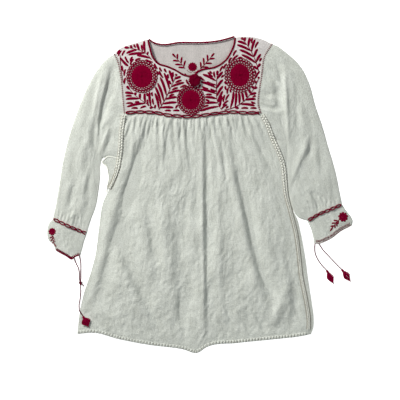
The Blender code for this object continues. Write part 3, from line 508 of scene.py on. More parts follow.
class Finish:
    """A material's nodes, with its plain values set on the shader."""

    def __init__(self, name, colour, roughness, specular=0.04):
        self.material = bpy.data.materials.new(name)
        self.material.use_nodes = True
        self.tree = self.material.node_tree
        self.shader = self.tree.nodes["Principled BSDF"]
        self.put(self.shader, {"Base Color": (*colour, 1.0), "Roughness": roughness,
                               "Specular IOR Level": specular})

    def put(self, node, values):
        """Set numbers and colours on a node's sockets, and link the sockets given."""
        for socket, value in values.items():
            if isinstance(value, bpy.types.NodeSocket):
                self.tree.links.new(value, node.inputs[socket])
            else:
                node.inputs[socket].default_value = value
        return node

    def node(self, kind, values=None):
        """A new node."""
        return self.put(self.tree.nodes.new("ShaderNode" + kind), values or {})

    def read_cloth(self):
        """Read the cloth coordinates."""
        self.source = self.node("UVMap").outputs[0]
        self.split = self.node("SeparateXYZ", {0: self.source})

    def maths(self, operation, *values):
        """A maths node on sockets or numbers."""
        made = self.node("Math")
        made.operation = operation
        return self.put(made, dict(enumerate(values))).outputs[0]

    def total(self, *terms, start=0.0):
        """The sum of sockets, each times its share."""
        for socket, share in terms:
            start = self.maths("MULTIPLY_ADD", socket, share, start)
        return start

    def noise(self, scale_u, scale_v, detail=2.0):
        """Noise over the cloth's own coordinates, stretched one way."""
        place = self.node("Mapping", {"Vector": self.source, "Scale": (scale_u, scale_v, 1.0)})
        made = self.node("TexNoise", {"Vector": place.outputs[0], "Scale": 1.0, "Detail": detail})
        made.noise_dimensions = "2D"
        return made.outputs["Fac"]

    def ridges(self, axis, pitch, drift):
        """Even ridges across one way of the cloth, which drift by a noise."""
        turn = self.total((self.split.outputs[axis], math.pi / pitch), drift)
        return self.maths("ABSOLUTE", self.maths("SINE", turn))

    def dye(self, tone, low, high):
        """Colour the surface between two colours by a tone."""
        mix = self.node("Mix")
        mix.data_type = "RGBA"
        self.put(mix, {0: tone, 6: (*low, 1.0), 7: (*high, 1.0)})
        self.put(self.shader, {"Base Color": mix.outputs[2]})

    def raise_by(self, height, strength, depth):
        """Raise the surface by a height."""
        bump = self.node("Bump", {"Height": height, "Strength": strength, "Distance": depth})
        self.put(self.shader, {"Normal": bump.outputs[0]})


def gauze(name, low, high):
    """Loosely woven cotton: threads both ways with small holes painted darker as shade, slubs and
    soft mottling.
    """
    made = Finish(name, high, 0.88)
    made.put(made.shader, {"Sheen Weight": 0.2, "Sheen Roughness": 0.6})
    made.read_cloth()
    wander = made.noise(90, 90)
    weave = made.maths("MAXIMUM", *[made.ridges(axis, 0.75 * MM, (wander, 9.0)) for axis in (0, 1)])
    slubs = made.total((made.noise(700, 26), 0.45), (made.noise(22, 700), 0.25))
    speck = made.noise(420, 330, 3.0)
    # The weave term is painted shade in the holes between threads; slubs, mottle and specks are the
    # cloth's own uneven tone.
    tone = made.total((weave, 0.3), (slubs, 1.0), (made.noise(60, 26, 4.0), 0.6), (speck, 1.2),
                      start=-0.94)
    made.dye(tone, low, high)
    made.raise_by(made.total((weave, 1.0), (slubs, 1.6), (speck, 5.0)), 0.5, 0.4 * MM)
    return made.material, "cotton"


def yarn(name, slot, pitch, dark, light, roughness, bump=0.7):
    """Laid threads side by side: fine stripes along the stitches, with painted shade between them,
    and random mottling.
    """
    made = Finish(name, light, roughness, 0.0)
    made.read_cloth()
    ridge = made.ridges(1, pitch, (made.noise(300, 300), 2.4))
    # The ridge term is painted shade between the threads; the noise term is the yarn's own uneven
    # tone.
    tone = made.total((ridge, 0.7), (made.noise(120, 420, 3.0), 0.6), start=-0.25)
    made.dye(tone, dark, light)
    made.raise_by(ridge, bump, 0.3 * MM)
    return made.material, slot


RED = "crimson_thread"
COTTON = gauze("cotton_gauze", (0.46, 0.482, 0.425), (0.80, 0.832, 0.775))
YOKE = gauze("cotton_yoke", (0.50, 0.47, 0.46), (0.82, 0.79, 0.775))
# The back yoke inside the neck: pinker where the embroidery shows through the cloth, and darker as
# painted shade for the shade it lies in under the front's edges.
INSIDE_SHADED = gauze("cotton_wrong_side_painted_shade", (0.44, 0.42, 0.40), (0.70, 0.66, 0.64))
CROCHET = yarn("cotton_crochet", "cotton", 0.9 * MM, (0.72, 0.73, 0.66), (0.93, 0.94, 0.87), 0.8, 0.3)
CRIMSON = yarn("crimson_satin", RED, 0.7 * MM, (0.13, 0.0006, 0.012), (0.29, 0.0012, 0.034), 0.6)
DEEP = yarn("crimson_deep", RED, 0.7 * MM, (0.09, 0.0006, 0.010), (0.24, 0.0012, 0.028), 0.65)
TIE = yarn("tie_twist", "tie_cord", 1.1 * MM, (0.06, 0.003, 0.012), (0.17, 0.014, 0.036), 0.8)
TASSEL = yarn("tassel_yarn", RED, 0.9 * MM, (0.17, 0.001, 0.020), (0.38, 0.003, 0.052), 0.7)
# Painted shade: a dark olive for the shadowed holes between the crochet beads, used again in the dips
# of the hem's crimp.
CROCHET_SHADE = yarn("crochet_holes_painted_shade", "cotton", 0.9 * MM, (0.30, 0.29, 0.24), (0.52, 0.51, 0.45), 0.9)


def tube(piece, path, radius, sides=6, closed=False):
    """A round thread along a path; its radius may vary along it."""
    count = len(path)
    if closed:
        tangent = np.roll(path, -1, axis=0) - np.roll(path, 1, axis=0)
    else:
        tangent = np.gradient(path, axis=0)
    tangent /= np.maximum(np.linalg.norm(tangent, axis=1)[:, None], TINY)
    side = np.cross(UP, tangent)
    side[np.linalg.norm(side, axis=1) < 0.05] = (1.0, 0.0, 0.0)
    side = units(side)
    lift = np.cross(tangent, side)
    radius = np.broadcast_to(np.asarray(radius, float), (count,))
    turn = np.arange(sides) * TURN / sides - 0.5 * math.pi
    ring = np.cos(turn)[:, None] * side[:, None, :] + np.sin(turn)[:, None] * lift[:, None, :]
    verts = path[:, None, :] + ring * radius[:, None, None]
    across = np.broadcast_to(turn * radius.mean(), (count, sides))
    places = np.stack([across, run_of(path)[:, None] + 0.8 * across], axis=-1)
    faces = []
    for row in range(count if closed else count - 1):
        below = (row + 1) % count
        for column in range(sides):
            right = (column + 1) % sides
            faces.append((row * sides + column, row * sides + right, below * sides + right,
                          below * sides + column))
    if not closed:
        faces.append(tuple(range(sides))[::-1])
        faces.append(tuple((count - 1) * sides + i for i in range(sides)))
    piece.add(verts.reshape(-1, 3), faces, places.reshape(-1, 2))


def thread(piece, flat, height, radius, sides=6, closed=False):
    """A tube along a flat line at a height above the floor."""
    path = np.column_stack([flat, np.broadcast_to(height, len(flat))])
    tube(piece, path, radius, sides, closed)


def ribbon(piece, spots, normal, across, z, run):
    """A flat strip along a line, with the heights z at the given offsets across it."""
    flat = spots[:, None, :] + normal[:, None, :] * across[None, :, None]
    places = np.stack(np.broadcast_arrays(across[None, :], run[:, None]), axis=-1)
    piece.add(np.concatenate([flat, z[..., None]], axis=-1).reshape(-1, 3),
              grid_faces(len(across), len(run)), places.reshape(-1, 2))


class Ground:
    """The upper side of pieces made so far, for what lies on them."""

    def __init__(self, objects):
        graph = bpy.context.evaluated_depsgraph_get()
        graph.update()
        self.trees = [BVHTree.FromObject(item, graph) for item in objects]

    def heights(self, spots):
        """The highest surface under each spot."""
        result = np.zeros(len(spots))
        down = Vector((0, 0, -1))
        for index, (x, y) in enumerate(np.asarray(spots)[:, :2]):
            for tree in self.trees:
                hit = tree.ray_cast(Vector((x, y, 0.1)), down)[0]
                if hit:
                    result[index] = max(result[index], hit.z)
        return result


def softened(heights, reach):
    """A running highest value, then a running mean, so that a thread bridges small dips."""
    count = len(heights)
    top = np.array([heights[max(i - reach, 0):i + reach + 1].max() for i in range(count)])
    return np.array([top[max(i - reach, 0):i + reach + 1].mean() for i in range(count)])


PHOTO_WIDTH = 980 * MM
PHOTO_CENTRE = (1.2 * MM, -13.5 * MM)
CAMERA_HEIGHT = 3.0
SENSOR = 36.0  # millimetres
# The photograph's frame is this high above the floor, about the middle of the cloth.
FRAME_HEIGHT = 5 * MM
FLOOR_REACH = 3.0
FLOOR_DROP = 0.2 * MM
WHITE = (1.0, 1.0, 1.0, 1.0)
# Each soft light: its name, place, size, power and colour.
LIGHTS = [("key", (-2.2, 2.4, 2.0), 0.8, 178, (1.0, 0.99, 0.965)),
          ("top", (1.0, -0.8, 2.1), 1.2, 14, (0.92, 0.97, 1.0))]


def add_camera():
    """Straight above the blouse, with the photograph's frame."""
    data = bpy.data.cameras.new("camera")
    data.sensor_width = SENSOR
    data.lens = SENSOR * (CAMERA_HEIGHT - FRAME_HEIGHT) / PHOTO_WIDTH
    camera = add_object("camera", data)
    camera.location = (*PHOTO_CENTRE, CAMERA_HEIGHT)
    bpy.context.scene.camera = camera


def add_stage():
    """A plain pale floor, soft light from the upper left and an even fill."""
    mesh = bpy.data.meshes.new("floor")
    corners = ((-1, -1), (1, -1), (1, 1), (-1, 1))
    mesh.from_pydata([(x * FLOOR_REACH, y * FLOOR_REACH, 0) for x, y in corners], [], [(0, 1, 2, 3)])
    paper = Finish("floor_paper", (0.92, 0.92, 0.92), 0.9)
    paper.put(paper.shader, {"Emission Color": WHITE, "Emission Strength": 0.85})
    mesh.materials.append(paper.material)
    floor = add_object("floor", mesh)
    floor.location.z = -FLOOR_DROP
    for name, place, size, power, colour in LIGHTS:
        data = bpy.data.lights.new(name, "AREA")
        data.shape = "SQUARE"
        data.size = size
        data.energy = power
        data.color = colour
        light = add_object(name, data)
        light.location = place
        light.rotation_euler = (-Vector(place)).to_track_quat("-Z", "Y").to_euler()
    world = bpy.data.worlds.new("studio")
    world.use_nodes = True
    back = world.node_tree.nodes["Background"]
    back.inputs[0].default_value = WHITE
    back.inputs[1].default_value = 0.08
    bpy.context.scene.world = world
    bpy.context.scene.view_settings.view_transform = "Standard"


add_camera()
add_stage()

ALL_FOLDS = FOLDS + CREASES + small_pleats() + cuff_pleats()
YOKE_Y = 200 * MM
BODY_SIZE = (0.45, 0.55)
STRIP_TURN_Y = 34 * MM
BACK_HEM_RISE = 4 * MM
BACK_HEM_LOWEST = -372 * MM
BACK_WALL = 0.5 * MM
# Where the shell lies: above the front layer's underside, and above the floor in a tube's back.
SHELL_RISE = 0.75 * WALL
TUBE_BACK = 0.6 * MM


def front_sheet(name, finish, place, shape, size, shift, strength=1.0, rise=0.0):
    """A panel of the front layer on a grid, crinkled along its own grain."""
    u, v = grid(*shape)
    spots = place(u, v)
    added = strength * crinkle(u * size[0], v * size[1], shift) + rise
    z = front_height(spots, added, ALL_FOLDS) + SHELL_RISE
    return cloth(name, finish, shape, size, spots, z, WALL)


def back_sheet(name, finish, place, shape, size, shift, height, strength):
    """A panel of the back layer, nearly flat on the floor."""
    u, v = grid(*shape)
    z = height + strength * crinkle(u * size[0], v * size[1], shift)
    return cloth(name, finish, shape, size, place(u, v), z, BACK_WALL)


def make_body():
    """Front and back panels, and the strip of the back that shows beside the front seam."""
    top = edge("yoke_seam")
    place = inset(patch(top, edge("hem"), edge("body_left"), edge("body_right")), 0.4, 0.55)
    shape = (291, 231)
    u, v = grid(*shape)
    below = top(u)[:, 1] - place(u, v)[:, 1]
    front = front_sheet("body_front", COTTON, place, shape, BODY_SIZE, 0, 0.85 + 0.6 * v,
                        gather(u, below))
    line = LINES["body_right"]
    turn = float(np.interp(-STRIP_TURN_Y, -line[:, 1], np.linspace(0.0, 1.0, len(line))))
    right = along(between("body_right", YOKE_Y, STRIP_TURN_Y), LINES["side_edge_right"],
                  shares=(turn, 1 - turn))
    hem = LINES["hem"].copy()
    hem[:, 1] = np.maximum(hem[:, 1] + BACK_HEM_RISE, BACK_HEM_LOWEST)
    hem[-1] = LINES["side_edge_right"][-1]
    hem[0] = LINES["body_left"][-1]
    place = inset(patch(top, along(hem), edge("body_left"), right), 0.4, 0.55, 2 * SEAM_GAP)
    back = back_sheet("body_back", COTTON, place, (90, 110), BODY_SIZE, 20, 0.65 * MM, 0.07)
    inner = between("body_right", SIDE_STRIP_TOP_Y, -343.5 * MM)
    outer = between("side_edge_right", SIDE_STRIP_TOP_Y, -343 * MM)
    ends = [along(np.array([inner[end], outer[end]])) for end in (0, -1)]
    place = inset(patch(*ends, along(inner), along(outer)), 0.01, 0.37)
    return [front, back, front_sheet("side_right", COTTON, place, (12, 170), (0.012, 0.37), 22, 0.6)]


def make_yoke():
    """The yoke's front and back."""
    places = [patch(along(LINES["shoulder_left"], LINES[f"neck_{layer}"], LINES["shoulder_right"],
                          shares=NECK_SHARES), edge("yoke_seam"), edge("armhole_left"),
                    edge("armhole_right"), YOKE_SIDE_POWER) for layer in ("front", "back")]
    return [front_sheet("yoke_front", YOKE, inset(places[0], 0.33, 0.14), (201, 71), (0.35, 0.15),
                        30, 0.28),
            # The back yoke takes the darker cotton, which has painted shade in it.
            back_sheet("yoke_back", INSIDE_SHADED, inset(places[1], 0.33, 0.16), (121, 61), (0.35, 0.18),
                       33, 0.75 * MM, 0.13)]


def rounded(z, blend):
    """Heights drawn in to the middle of a folded edge, where the blend is 0."""
    middle = 0.5 * EDGE_HEIGHT
    return middle + (z - middle) * np.sqrt(blend * (2 - blend))


def flat_tube(name, place, shape, size, shift, wall_share, strength=1.0):
    """A flattened tube of cloth: the front layer above, the back layer on the floor."""
    u, v = grid(*shape)
    over = 1 - np.abs(2 * u - 1)
    front = u <= 0.5
    spots = place(over, v)
    inner = place(wall_share + over * (1 - 2 * wall_share), v)
    added = strength * crinkle(over * size[0], v * size[1], shift)
    top = front_height(spots, added, ALL_FOLDS) + SHELL_RISE
    back = TUBE_BACK + 0.06 * crinkle(over * size[0], v * size[1], shift + 3)
    blend = np.clip(np.minimum(over, 1 - over) / (2.2 * wall_share), 0.0, 1.0)
    z = rounded(np.where(front, top, back), blend)
    spots = np.where(front[:, None], spots, inner * 0.7 + spots * 0.3)
    return cloth(name, COTTON, shape, (2 * size[0], size[1]), spots, z)


def make_sleeves():
    """Two flattened sleeves, each from its armhole to its cuff, then the two cuffs."""
    made = []
    for side, shift in (("left", 40), ("right", 50)):
        share = ARMHOLE_SHARE[side]
        seam = along(LINES[f"armhole_{side}"], between(f"body_{side}", YOKE_Y, ARMPIT_Y[side]),
                     shares=(share, 1 - share))
        place = patch(seam, edge(f"cuff_{side}_top"), edge(f"sleeve_{side}_outer"),
                      edge(f"sleeve_{side}_inner"))
        made.append(flat_tube(f"sleeve_{side}", inset(place, 0.1, 0.35), (129, 180), (0.13, 0.38),
                              shift, 0.013))
    for side, shift in (("left", 60), ("right", 64)):
        place = patch(*[edge(f"cuff_{side}_{part}") for part in ("top", "mouth", "outer", "inner")])
        made.append(flat_tube(f"cuff_{side}", inset(place, 0.09, 0.07), (89, 44), (0.092, 0.07),
                              shift, 0.015, 1.3))
    return made


def half_tube(name, place, size, shift):
    """A gusset folded at one side: its front layer over its back one."""
    shape = (41, 50)
    u, v = grid(*shape)
    over = 1 - np.abs(2 * u - 1)
    front = u <= 0.5
    spots = place(over, v)
    top = front_height(spots, crinkle(u * size[0], v * size[1], shift), ALL_FOLDS) + SHELL_RISE
    z = rounded(np.where(front, top, TUBE_BACK), np.clip((1 - over) / 0.12, 0.0, 1.0))
    spots = np.where(front[:, None], spots, place(over * FOLD_INSET, v))
    return cloth(name, COTTON, shape, size, spots, z)


def make_gussets():
    """Underarm gussets, folded at the armpit."""
    inner = LINES["sleeve_left_inner"]
    top = inner[inner[:, 0] > -234 * MM] - (0.0, GUSSET_GAP)
    fold = np.vstack([top[-1:], LINES["gusset_left_edge"][8:]])
    seam = between("body_left", ARMPIT_Y["left"] - GUSSET_GAP, GUSSET_LEFT_END_Y)
    bottom = np.array([between(name, GUSSET_LEFT_END_Y, 8 * MM)[0]
                       for name in ("body_left", "gusset_left_edge")])
    left = patch(along(evenly(np.vstack([seam[:1], top[2:]]), 40)), along(bottom), along(seam),
                 along(fold[fold[:, 1] > 8 * MM]))
    made = [half_tube("gusset_left", inset(left, 0.03, 0.07, 0.1 * MM), (0.06, 0.08), 70)]
    line = LINES["sleeve_right_inner"]
    corner = int(np.argmin(np.abs(line[:, 0] - 210 * MM) + np.abs(line[:, 1] - 124 * MM)))
    shift = -1.5 * GUSSET_GAP
    below = line[(line[:, 1] > GUSSET_RIGHT_END_Y) & (np.arange(len(line)) >= corner)] + shift
    seam = between("body_right", ARMPIT_Y["right"] + shift, below[-1][1])
    right = patch(along(np.vstack([seam[:1], line[3:corner] + shift, below[:1]])),
                  along(np.array([seam[-1], below[-1]])), along(seam), along(evenly(below, 60)))
    made.append(half_tube("gusset_right", inset(right, 0.03, 0.08, 0.1 * MM), (0.05, 0.09), 74))
    roll = Piece()
    path = evenly(np.vstack([LINES["gusset_left_edge"][::-1][:-6], top[::-1][4:-3]]), 90)
    thread(roll, path, front_height(path) + 0.3 * WALL, 1.7 * MM, 8)
    roll.make("gusset_left_roll", CROCHET)
    return made


# The body's front, back and side come first, then the yoke's front and back.
CLOTHS = make_body() + make_yoke() + make_sleeves() + make_gussets()
FRONT = Ground(CLOTHS)
BACK_YOKE = Ground(CLOTHS[4:5])

# Centre, radii of the solid middle and of the openwork round it, then loops in its two rows.
FLOWERS = {
    "flower_left": ((-141, 289), (27, 29), (38, 41), (26, 31)),
    "flower_right": ((99, 292), (25, 29), (38, 41), (26, 31)),
    "flower_middle": ((-21, 231.5), (23.5, 25), (34, 35), (24, 28)),
}
# The back yoke's flower: centre and radius.
BACK_FLOWER = ((-17, 313), 11.5)
# Fern fronds: base, bend and tip of the rib, the longest leaflet to its left and to its right,
# and how far those on its left and on its right lean from it in degrees.
FRONDS = [
    ((-118, 330), (-138, 349), (-172, 359), 40, 44, 44, 56),
    ((-195, 341), (-192, 305), (-187, 274), 34, 6, 40, 40),
    ((-110, 212), (-144, 232), (-171, 257), 46, 44, 46, 58),
    ((-100, 208), (-82, 238), (-58, 290), 48, 38, 52, 56),
    ((54, 208), (42, 238), (43, 291), 48, 32, 78, 44),
    ((61, 207), (110, 230), (144, 283), 46, 38, 64, 44),
    ((144, 303), (131, 341), (107, 379), 40, 34, 44, 52),
]
BACK_FRONDS = [
    ((-36, 309), (-44, 320), (-58, 336), 17, 17, 52, 52),
    ((2, 309), (13, 320), (28, 337), 17, 17, 52, 52),
]
# Bare cloth left beside each edge of the yoke, and round the pompom and the right shoulder.
YOKE_MARGINS = {"armhole_left": 6, "armhole_right": 6, "neck_front": 4, "yoke_seam": 9,
                "shoulder_left": 2, "shoulder_right": 2}
BARE_SPOTS = [((-12, 279), (15, 17)), ((167, 362), (25, 24))]
LEAF_WIDTH = 7.8 * MM
LEAF_PITCH = 10.4 * MM
SHORTEST_LEAF = 6 * MM
# The map of the yoke's free cloth: a cell's side, the lower left corner and the cells each way.
CELL = 0.5 * MM
YOKE_CORNER = np.array([-220.0, 180.0]) * MM
YOKE_CELLS = (840, 440)


def inside_loop(loop, spots):
    """Whether each spot is inside a closed line."""
    result = np.zeros(len(spots), bool)
    ends = np.roll(loop, -1, axis=0)
    for (x0, y0), (x1, y1) in zip(loop, ends):
        if y0 == y1:
            continue
        crosses = (spots[:, 1] > min(y0, y1)) & (spots[:, 1] <= max(y0, y1))
        crosses &= spots[:, 0] < x0 + (spots[:, 1] - y0) * (x1 - x0) / (y1 - y0)
        result ^= crosses
    return result


class Plot:
    """A map of where stitches may still go, so that motifs fill the cloth without overlap."""

    def __init__(self, loop, margins):
        column, row = np.meshgrid(np.arange(YOKE_CELLS[0]), np.arange(YOKE_CELLS[1]))
        self.spots = np.column_stack([column.ravel(), row.ravel()]) * CELL + YOKE_CORNER
        self.taken = ~inside_loop(loop, self.spots)
        for line, margin in margins:
            free = np.flatnonzero(~self.taken)
            self.taken[free[distance(line, self.spots[free]) < margin]] = True

    def close_to(self, start, end, reach):
        """The cells within reach of a straight line."""
        low = np.minimum(start, end) - reach
        high = np.maximum(start, end) + reach
        near = np.flatnonzero(np.all((self.spots >= low) & (self.spots <= high), axis=1))
        step = end - start
        offset = self.spots[near] - start
        s = np.clip(offset @ step / max(step @ step, TINY), 0.0, 1.0)
        return near[np.linalg.norm(offset - s[:, None] * step, axis=1) < reach]

    def take_leaf(self, start, end, width):
        """Take a leaf and the bare cloth that stays round it."""
        self.taken[self.close_to(start, end, 0.7 * width)] = True

    def take_round(self, centre, radii):
        """Take an ellipse."""
        self.taken |= (((self.spots - centre) / radii)**2).sum(axis=1) < 1.0

    def free_run(self, start, direction, longest, skip, taken):
        """How far a leaf may go from its start, in metres."""
        run = skip
        while run < longest:
            cell = np.round((start + direction * run - YOKE_CORNER) / CELL).astype(int)
            if not (0 <= cell[0] < YOKE_CELLS[0] and 0 <= cell[1] < YOKE_CELLS[1]):
                break
            if taken[cell[1] * YOKE_CELLS[0] + cell[0]]:
                break
            run += CELL
        return run - CELL


def leaf(piece, start, end, width, bow=0.06, height=1.0 * MM):
    """A satin-stitch leaf: raised in the middle, rounded at both ends, slightly bowed."""
    s = 0.5 - 0.5 * np.cos(np.linspace(0.0, math.pi, 11))
    step = end - start
    length = float(np.linalg.norm(step))
    normal = np.array([-step[1], step[0]]) / length
    line = start + np.outer(s, step) + np.outer(np.sin(math.pi * s) * bow * length, normal)
    half = 0.5 * width * np.sqrt(1.02 - np.abs(2 * s - 1)**3) * (0.82 + 0.25 * s)
    across = np.array([-1.0, -0.62, 0.0, 0.62, 1.0])
    rise = np.array([-0.25, 0.72, 1.0, 0.72, -0.25])
    spots = line[:, None, :] + normal * (half[:, None] * across)[..., None]
    z = height * rise * (half / (0.5 * width))[:, None]
    verts = np.concatenate([spots, z[..., None]], axis=-1).reshape(-1, 3)
    offset = half[:, None] * across
    places = np.stack([offset, (s * length)[:, None] + 0.7 * np.abs(offset)], axis=-1)
    piece.add(verts, grid_faces(5, 11), places.reshape(-1, 2))


def rib_line(base, bend, tip, count=40):
    """A smooth rib from its base to its tip."""
    t = np.linspace(0.0, 1.0, count)[:, None]
    middle = 2 * np.array(bend) - 0.5 * (np.array(base) + np.array(tip))
    return ((1 - t)**2 * np.array(base) + 2 * t * (1 - t) * middle + t**2 * np.array(tip)) * MM


def drape(piece, ground):
    """Lay a flat part on the ground."""
    verts = np.concatenate(piece.verts)
    verts[:, 2] += ground.heights(verts)
    piece.verts = [verts]


def stitch_fronds(piece, plot, fronds, width, pitch):
    """Fern fronds; on a plot, each one's leaflets stop halfway to the next frond's rib."""
    ribs = [rib_line(*frond[:3]) for frond in fronds]
    blocked = [None] * len(ribs)
    if plot:
        free = np.flatnonzero(~plot.taken)
        gaps = np.array([distance(line, plot.spots[free]) for line in ribs])
        for index, gap in enumerate(gaps):
            blocked[index] = plot.taken.copy()
            others = np.delete(gaps, index, axis=0).min(axis=0)
            blocked[index][free] |= gap > others - 0.6 * MM
    placed = []
    for line, taken, frond in zip(ribs, blocked, fronds):
        left, right, *leans = frond[3:]
        thread(piece, line, 0.4 * MM, np.linspace(1.05, 0.75, len(line)) * MM)
        rib_length = steps(line).sum()
        point = along(line)
        for side, longest, lean in zip((1, -1), (left, right), leans):
            count = max(int(rib_length * math.sin(math.radians(lean - 4)) / pitch), 2)
            for index in range(count):
                t = (index + (0.2 if side > 0 else 0.6)) / count
                ahead = point(min(t + 0.03, 1.0)) - point(t - 0.03)
                turn = math.atan2(ahead[1], ahead[0]) + side * math.radians(lean - 12 * t)
                direction = heading(turn)
                envelope = 0.62 + 0.38 * math.sin(math.pi * min(0.2 + 0.75 * t, 1.0))
                length = longest * MM * envelope * (0.92 + 0.16 * noise_at(index, side, t))
                start = point(t) + direction * 0.7 * MM
                if plot:
                    length = min(length, plot.free_run(start, direction, length, 2.2 * MM, taken))
                if length > (SHORTEST_LEAF if plot else 3 * MM):
                    placed.append((start, start + direction * length, -0.04 * side))
        ahead = unit(line[-1] - line[-3])
        length = 13 * MM
        if plot:
            length = min(length, plot.free_run(line[-1], ahead, length, 1.5 * MM, taken))
        if length > 4 * MM:
            placed.append((line[-1], line[-1] + ahead * length, 0.0))
    for start, end, bow in placed:
        leaf(piece, start, end, width, bow)
        if plot:
            plot.take_leaf(start, end, width)


def fill_leaves(piece, plot, width):
    """Single leaves in what is still free, lying as the longest free run there does."""
    angles = [math.radians(angle) for angle in range(0, 180, 20)]
    for y in np.arange(205, 385, 3.0) * MM:
        for x in np.arange(-205, 175, 3.0) * MM:
            spot = np.array([x, y])
            best = (0.0, None, None)
            for angle in angles:
                direction = heading(angle)
                ahead, behind = [plot.free_run(spot, way, 16 * MM, 0.0, plot.taken)
                                 for way in (direction, -direction)]
                if min(ahead, behind) > 0 and ahead + behind > best[0]:
                    best = (ahead + behind, spot - direction * behind, spot + direction * ahead)
            if best[0] > 9 * MM:
                leaf(piece, best[1], best[2], width)
                plot.take_leaf(best[1], best[2], width)


def noise_at(index, side, t):
    """A repeatable number from 0 to 1 for one leaflet."""
    return float(noise(np.array([3.7 * index + 1.3 * side]), np.array([5.1 * t + 2.0]), 9)[0])


def stitch_flower(name, values):
    """A solid crocheted middle with a scalloped edge, and two rows of open loops round it."""
    centre, middle, outer, loops = values
    centre = np.array(centre) * MM
    piece = Piece()
    turns, rings = 200, 15
    turn = np.linspace(0, TURN, turns)
    reach = np.linspace(0.0, 1.0, rings)
    scallop = 1 + 0.03 * np.cos(loops[0] * turn)
    spots = np.stack([np.outer(reach, np.cos(turn) * scallop) * middle[0],
                      np.outer(reach, np.sin(turn) * scallop) * middle[1]], axis=-1) * MM + centre
    dome = 1.15 * np.sqrt(np.clip(1 - reach**6, 0.0, 1.0)) - 0.25 * (reach > 0.99)
    rows = 0.16 * np.cos(TURN * reach * 4.5) * (reach < 0.97)
    z = (dome + rows)[:, None] + 0.07 * np.cos(50 * turn)[None, :]
    verts = np.concatenate([spots, z[..., None] * MM], axis=-1).reshape(-1, 3)
    around = np.outer(np.full(rings, 0.6), turn) * middle[0] * MM
    places = np.stack([np.outer(reach, np.full(turns, middle[0] * MM)), around], axis=-1)
    piece.add(verts, [face[::-1] for face in grid_faces(turns, rings)], places.reshape(-1, 2))
    depth = (outer[0] - middle[0]) / 2
    for row, count in enumerate(loops):
        for index in range(count):
            angle = TURN * (index + 0.5 * row) / count
            out = (row + 0.5) * depth
            radial = heading(angle)
            spot = centre + radial * (np.array(middle) + out) * MM
            around = np.array([-radial[1], radial[0]])
            wide = math.pi * (middle[0] + out) / count
            circle = np.linspace(0, TURN, 14, endpoint=False)
            ring = (spot + np.outer(np.cos(circle), radial) * (0.5 * depth - 0.35) * MM
                    + np.outer(np.sin(circle), around) * (wide - 0.2) * MM)
            high = 0.45 * MM + 0.15 * MM * np.cos(circle + row)
            thread(piece, ring, high, 1.28 * MM, closed=True)
    drape(piece, FRONT)
    piece.make(name + "_stitches", CRIMSON, name)


def stitch_yoke():
    """The yoke's flowers and the fronds that fill the cloth round them."""
    loop = np.vstack([LINES["shoulder_left"], LINES["neck_front"], LINES["shoulder_right"],
                      LINES["armhole_right"], LINES["yoke_seam"][::-1], LINES["armhole_left"][::-1]])
    plot = Plot(loop, [(LINES[name], margin * MM) for name, margin in YOKE_MARGINS.items()])
    for centre, _, outer, _ in FLOWERS.values():
        plot.take_round(np.array(centre) * MM, (np.array(outer) + 0.6) * MM)
    for centre, radii in BARE_SPOTS:
        plot.take_round(np.array(centre) * MM, np.array(radii) * MM)
    for name, values in FLOWERS.items():
        stitch_flower(name, values)
    piece = Piece()
    stitch_fronds(piece, plot, FRONDS, LEAF_WIDTH, LEAF_PITCH)
    fill_leaves(piece, plot, 0.8 * LEAF_WIDTH)
    drape(piece, FRONT)
    piece.make("yoke_fronds", CRIMSON)


def stitch_back_yoke():
    """The small flower and two sprigs inside the neck."""
    centre = np.array(BACK_FLOWER[0]) * MM
    radius = BACK_FLOWER[1] * MM
    piece = Piece()
    for index in range(12):
        reach = heading(TURN * index / 12) * radius
        leaf(piece, centre + 0.25 * reach, centre + reach, 0.5 * radius, 0.0, 0.8 * MM)
    turn = np.linspace(0, TURN, 24, endpoint=False)
    for reach in (0.28, 0.12):
        ring = centre + reach * radius * np.column_stack([np.cos(turn), np.sin(turn)])
        thread(piece, ring, 0.6 * MM, 1.3 * MM, closed=True)
    drape(piece, BACK_YOKE)
    piece.make("flower_back_stitches", CRIMSON, "flower_back")
    piece = Piece()
    stitch_fronds(piece, None, BACK_FRONDS, 5.6 * MM, 7.2 * MM)
    x0 = BACK_FLOWER[0][0]
    for side in (-1, 1):
        stem = rib_line((x0 + side * 14, 306), (x0 + side * 9, 301), (x0 + side * 2, 299.5), 12)
        thread(piece, stem, 0.3 * MM, 0.6 * MM)
    drape(piece, BACK_YOKE)
    piece.make("back_sprigs", CRIMSON)


stitch_yoke()
stitch_back_yoke()

# The chain-stitched bands: half width, length of a link and thread radius.
YOKE_BAND = (3.0 * MM, 23 * MM, 1.65 * MM)
CUFF_BAND = (2.9 * MM, 15 * MM, 1.5 * MM)
# The crochet strips: half width, step from bead to bead, and the height of their upper ends.
CROCHET_HALF = 5.6 * MM
CROCHET_PITCH = 7.0 * MM
CROCHET_TOP = YOKE_Y - 6.25 * MM
# The hem's roll: its width, the rows across it and the length of a crimp.
HEM_WIDTH = 8.5 * MM
HEM_ROWS = 8
HEM_PITCH = 7.4 * MM
# The neck binding: its radius, and how far it stands off the neckline.
BINDING_RADIUS = 2.6 * MM
BINDING_CLEAR = 2.4 * MM


def frame_of(line, step):
    """Even points of a line about a step apart, with its left-hand normals and run."""
    length = float(steps(line).sum())
    spots = evenly(line, max(int(length / step), 4))
    ahead = units(np.gradient(spots, axis=0))
    normal = np.column_stack([-ahead[:, 1], ahead[:, 0]])
    return spots, normal, np.linspace(0.0, length, len(spots))


def lay(piece, spots, normal, offset, height, radius):
    """A thread lying beside a line, over small gaps in the cloth."""
    sideways = np.broadcast_to(offset, len(spots))[:, None]
    under = np.max([FRONT.heights(spots + normal * (sideways + shift * MM))
                    for shift in (-1.2, 0.0, 1.2)], axis=0)
    thread(piece, spots + normal * sideways, np.maximum(softened(under, 3) + height, radius), radius)


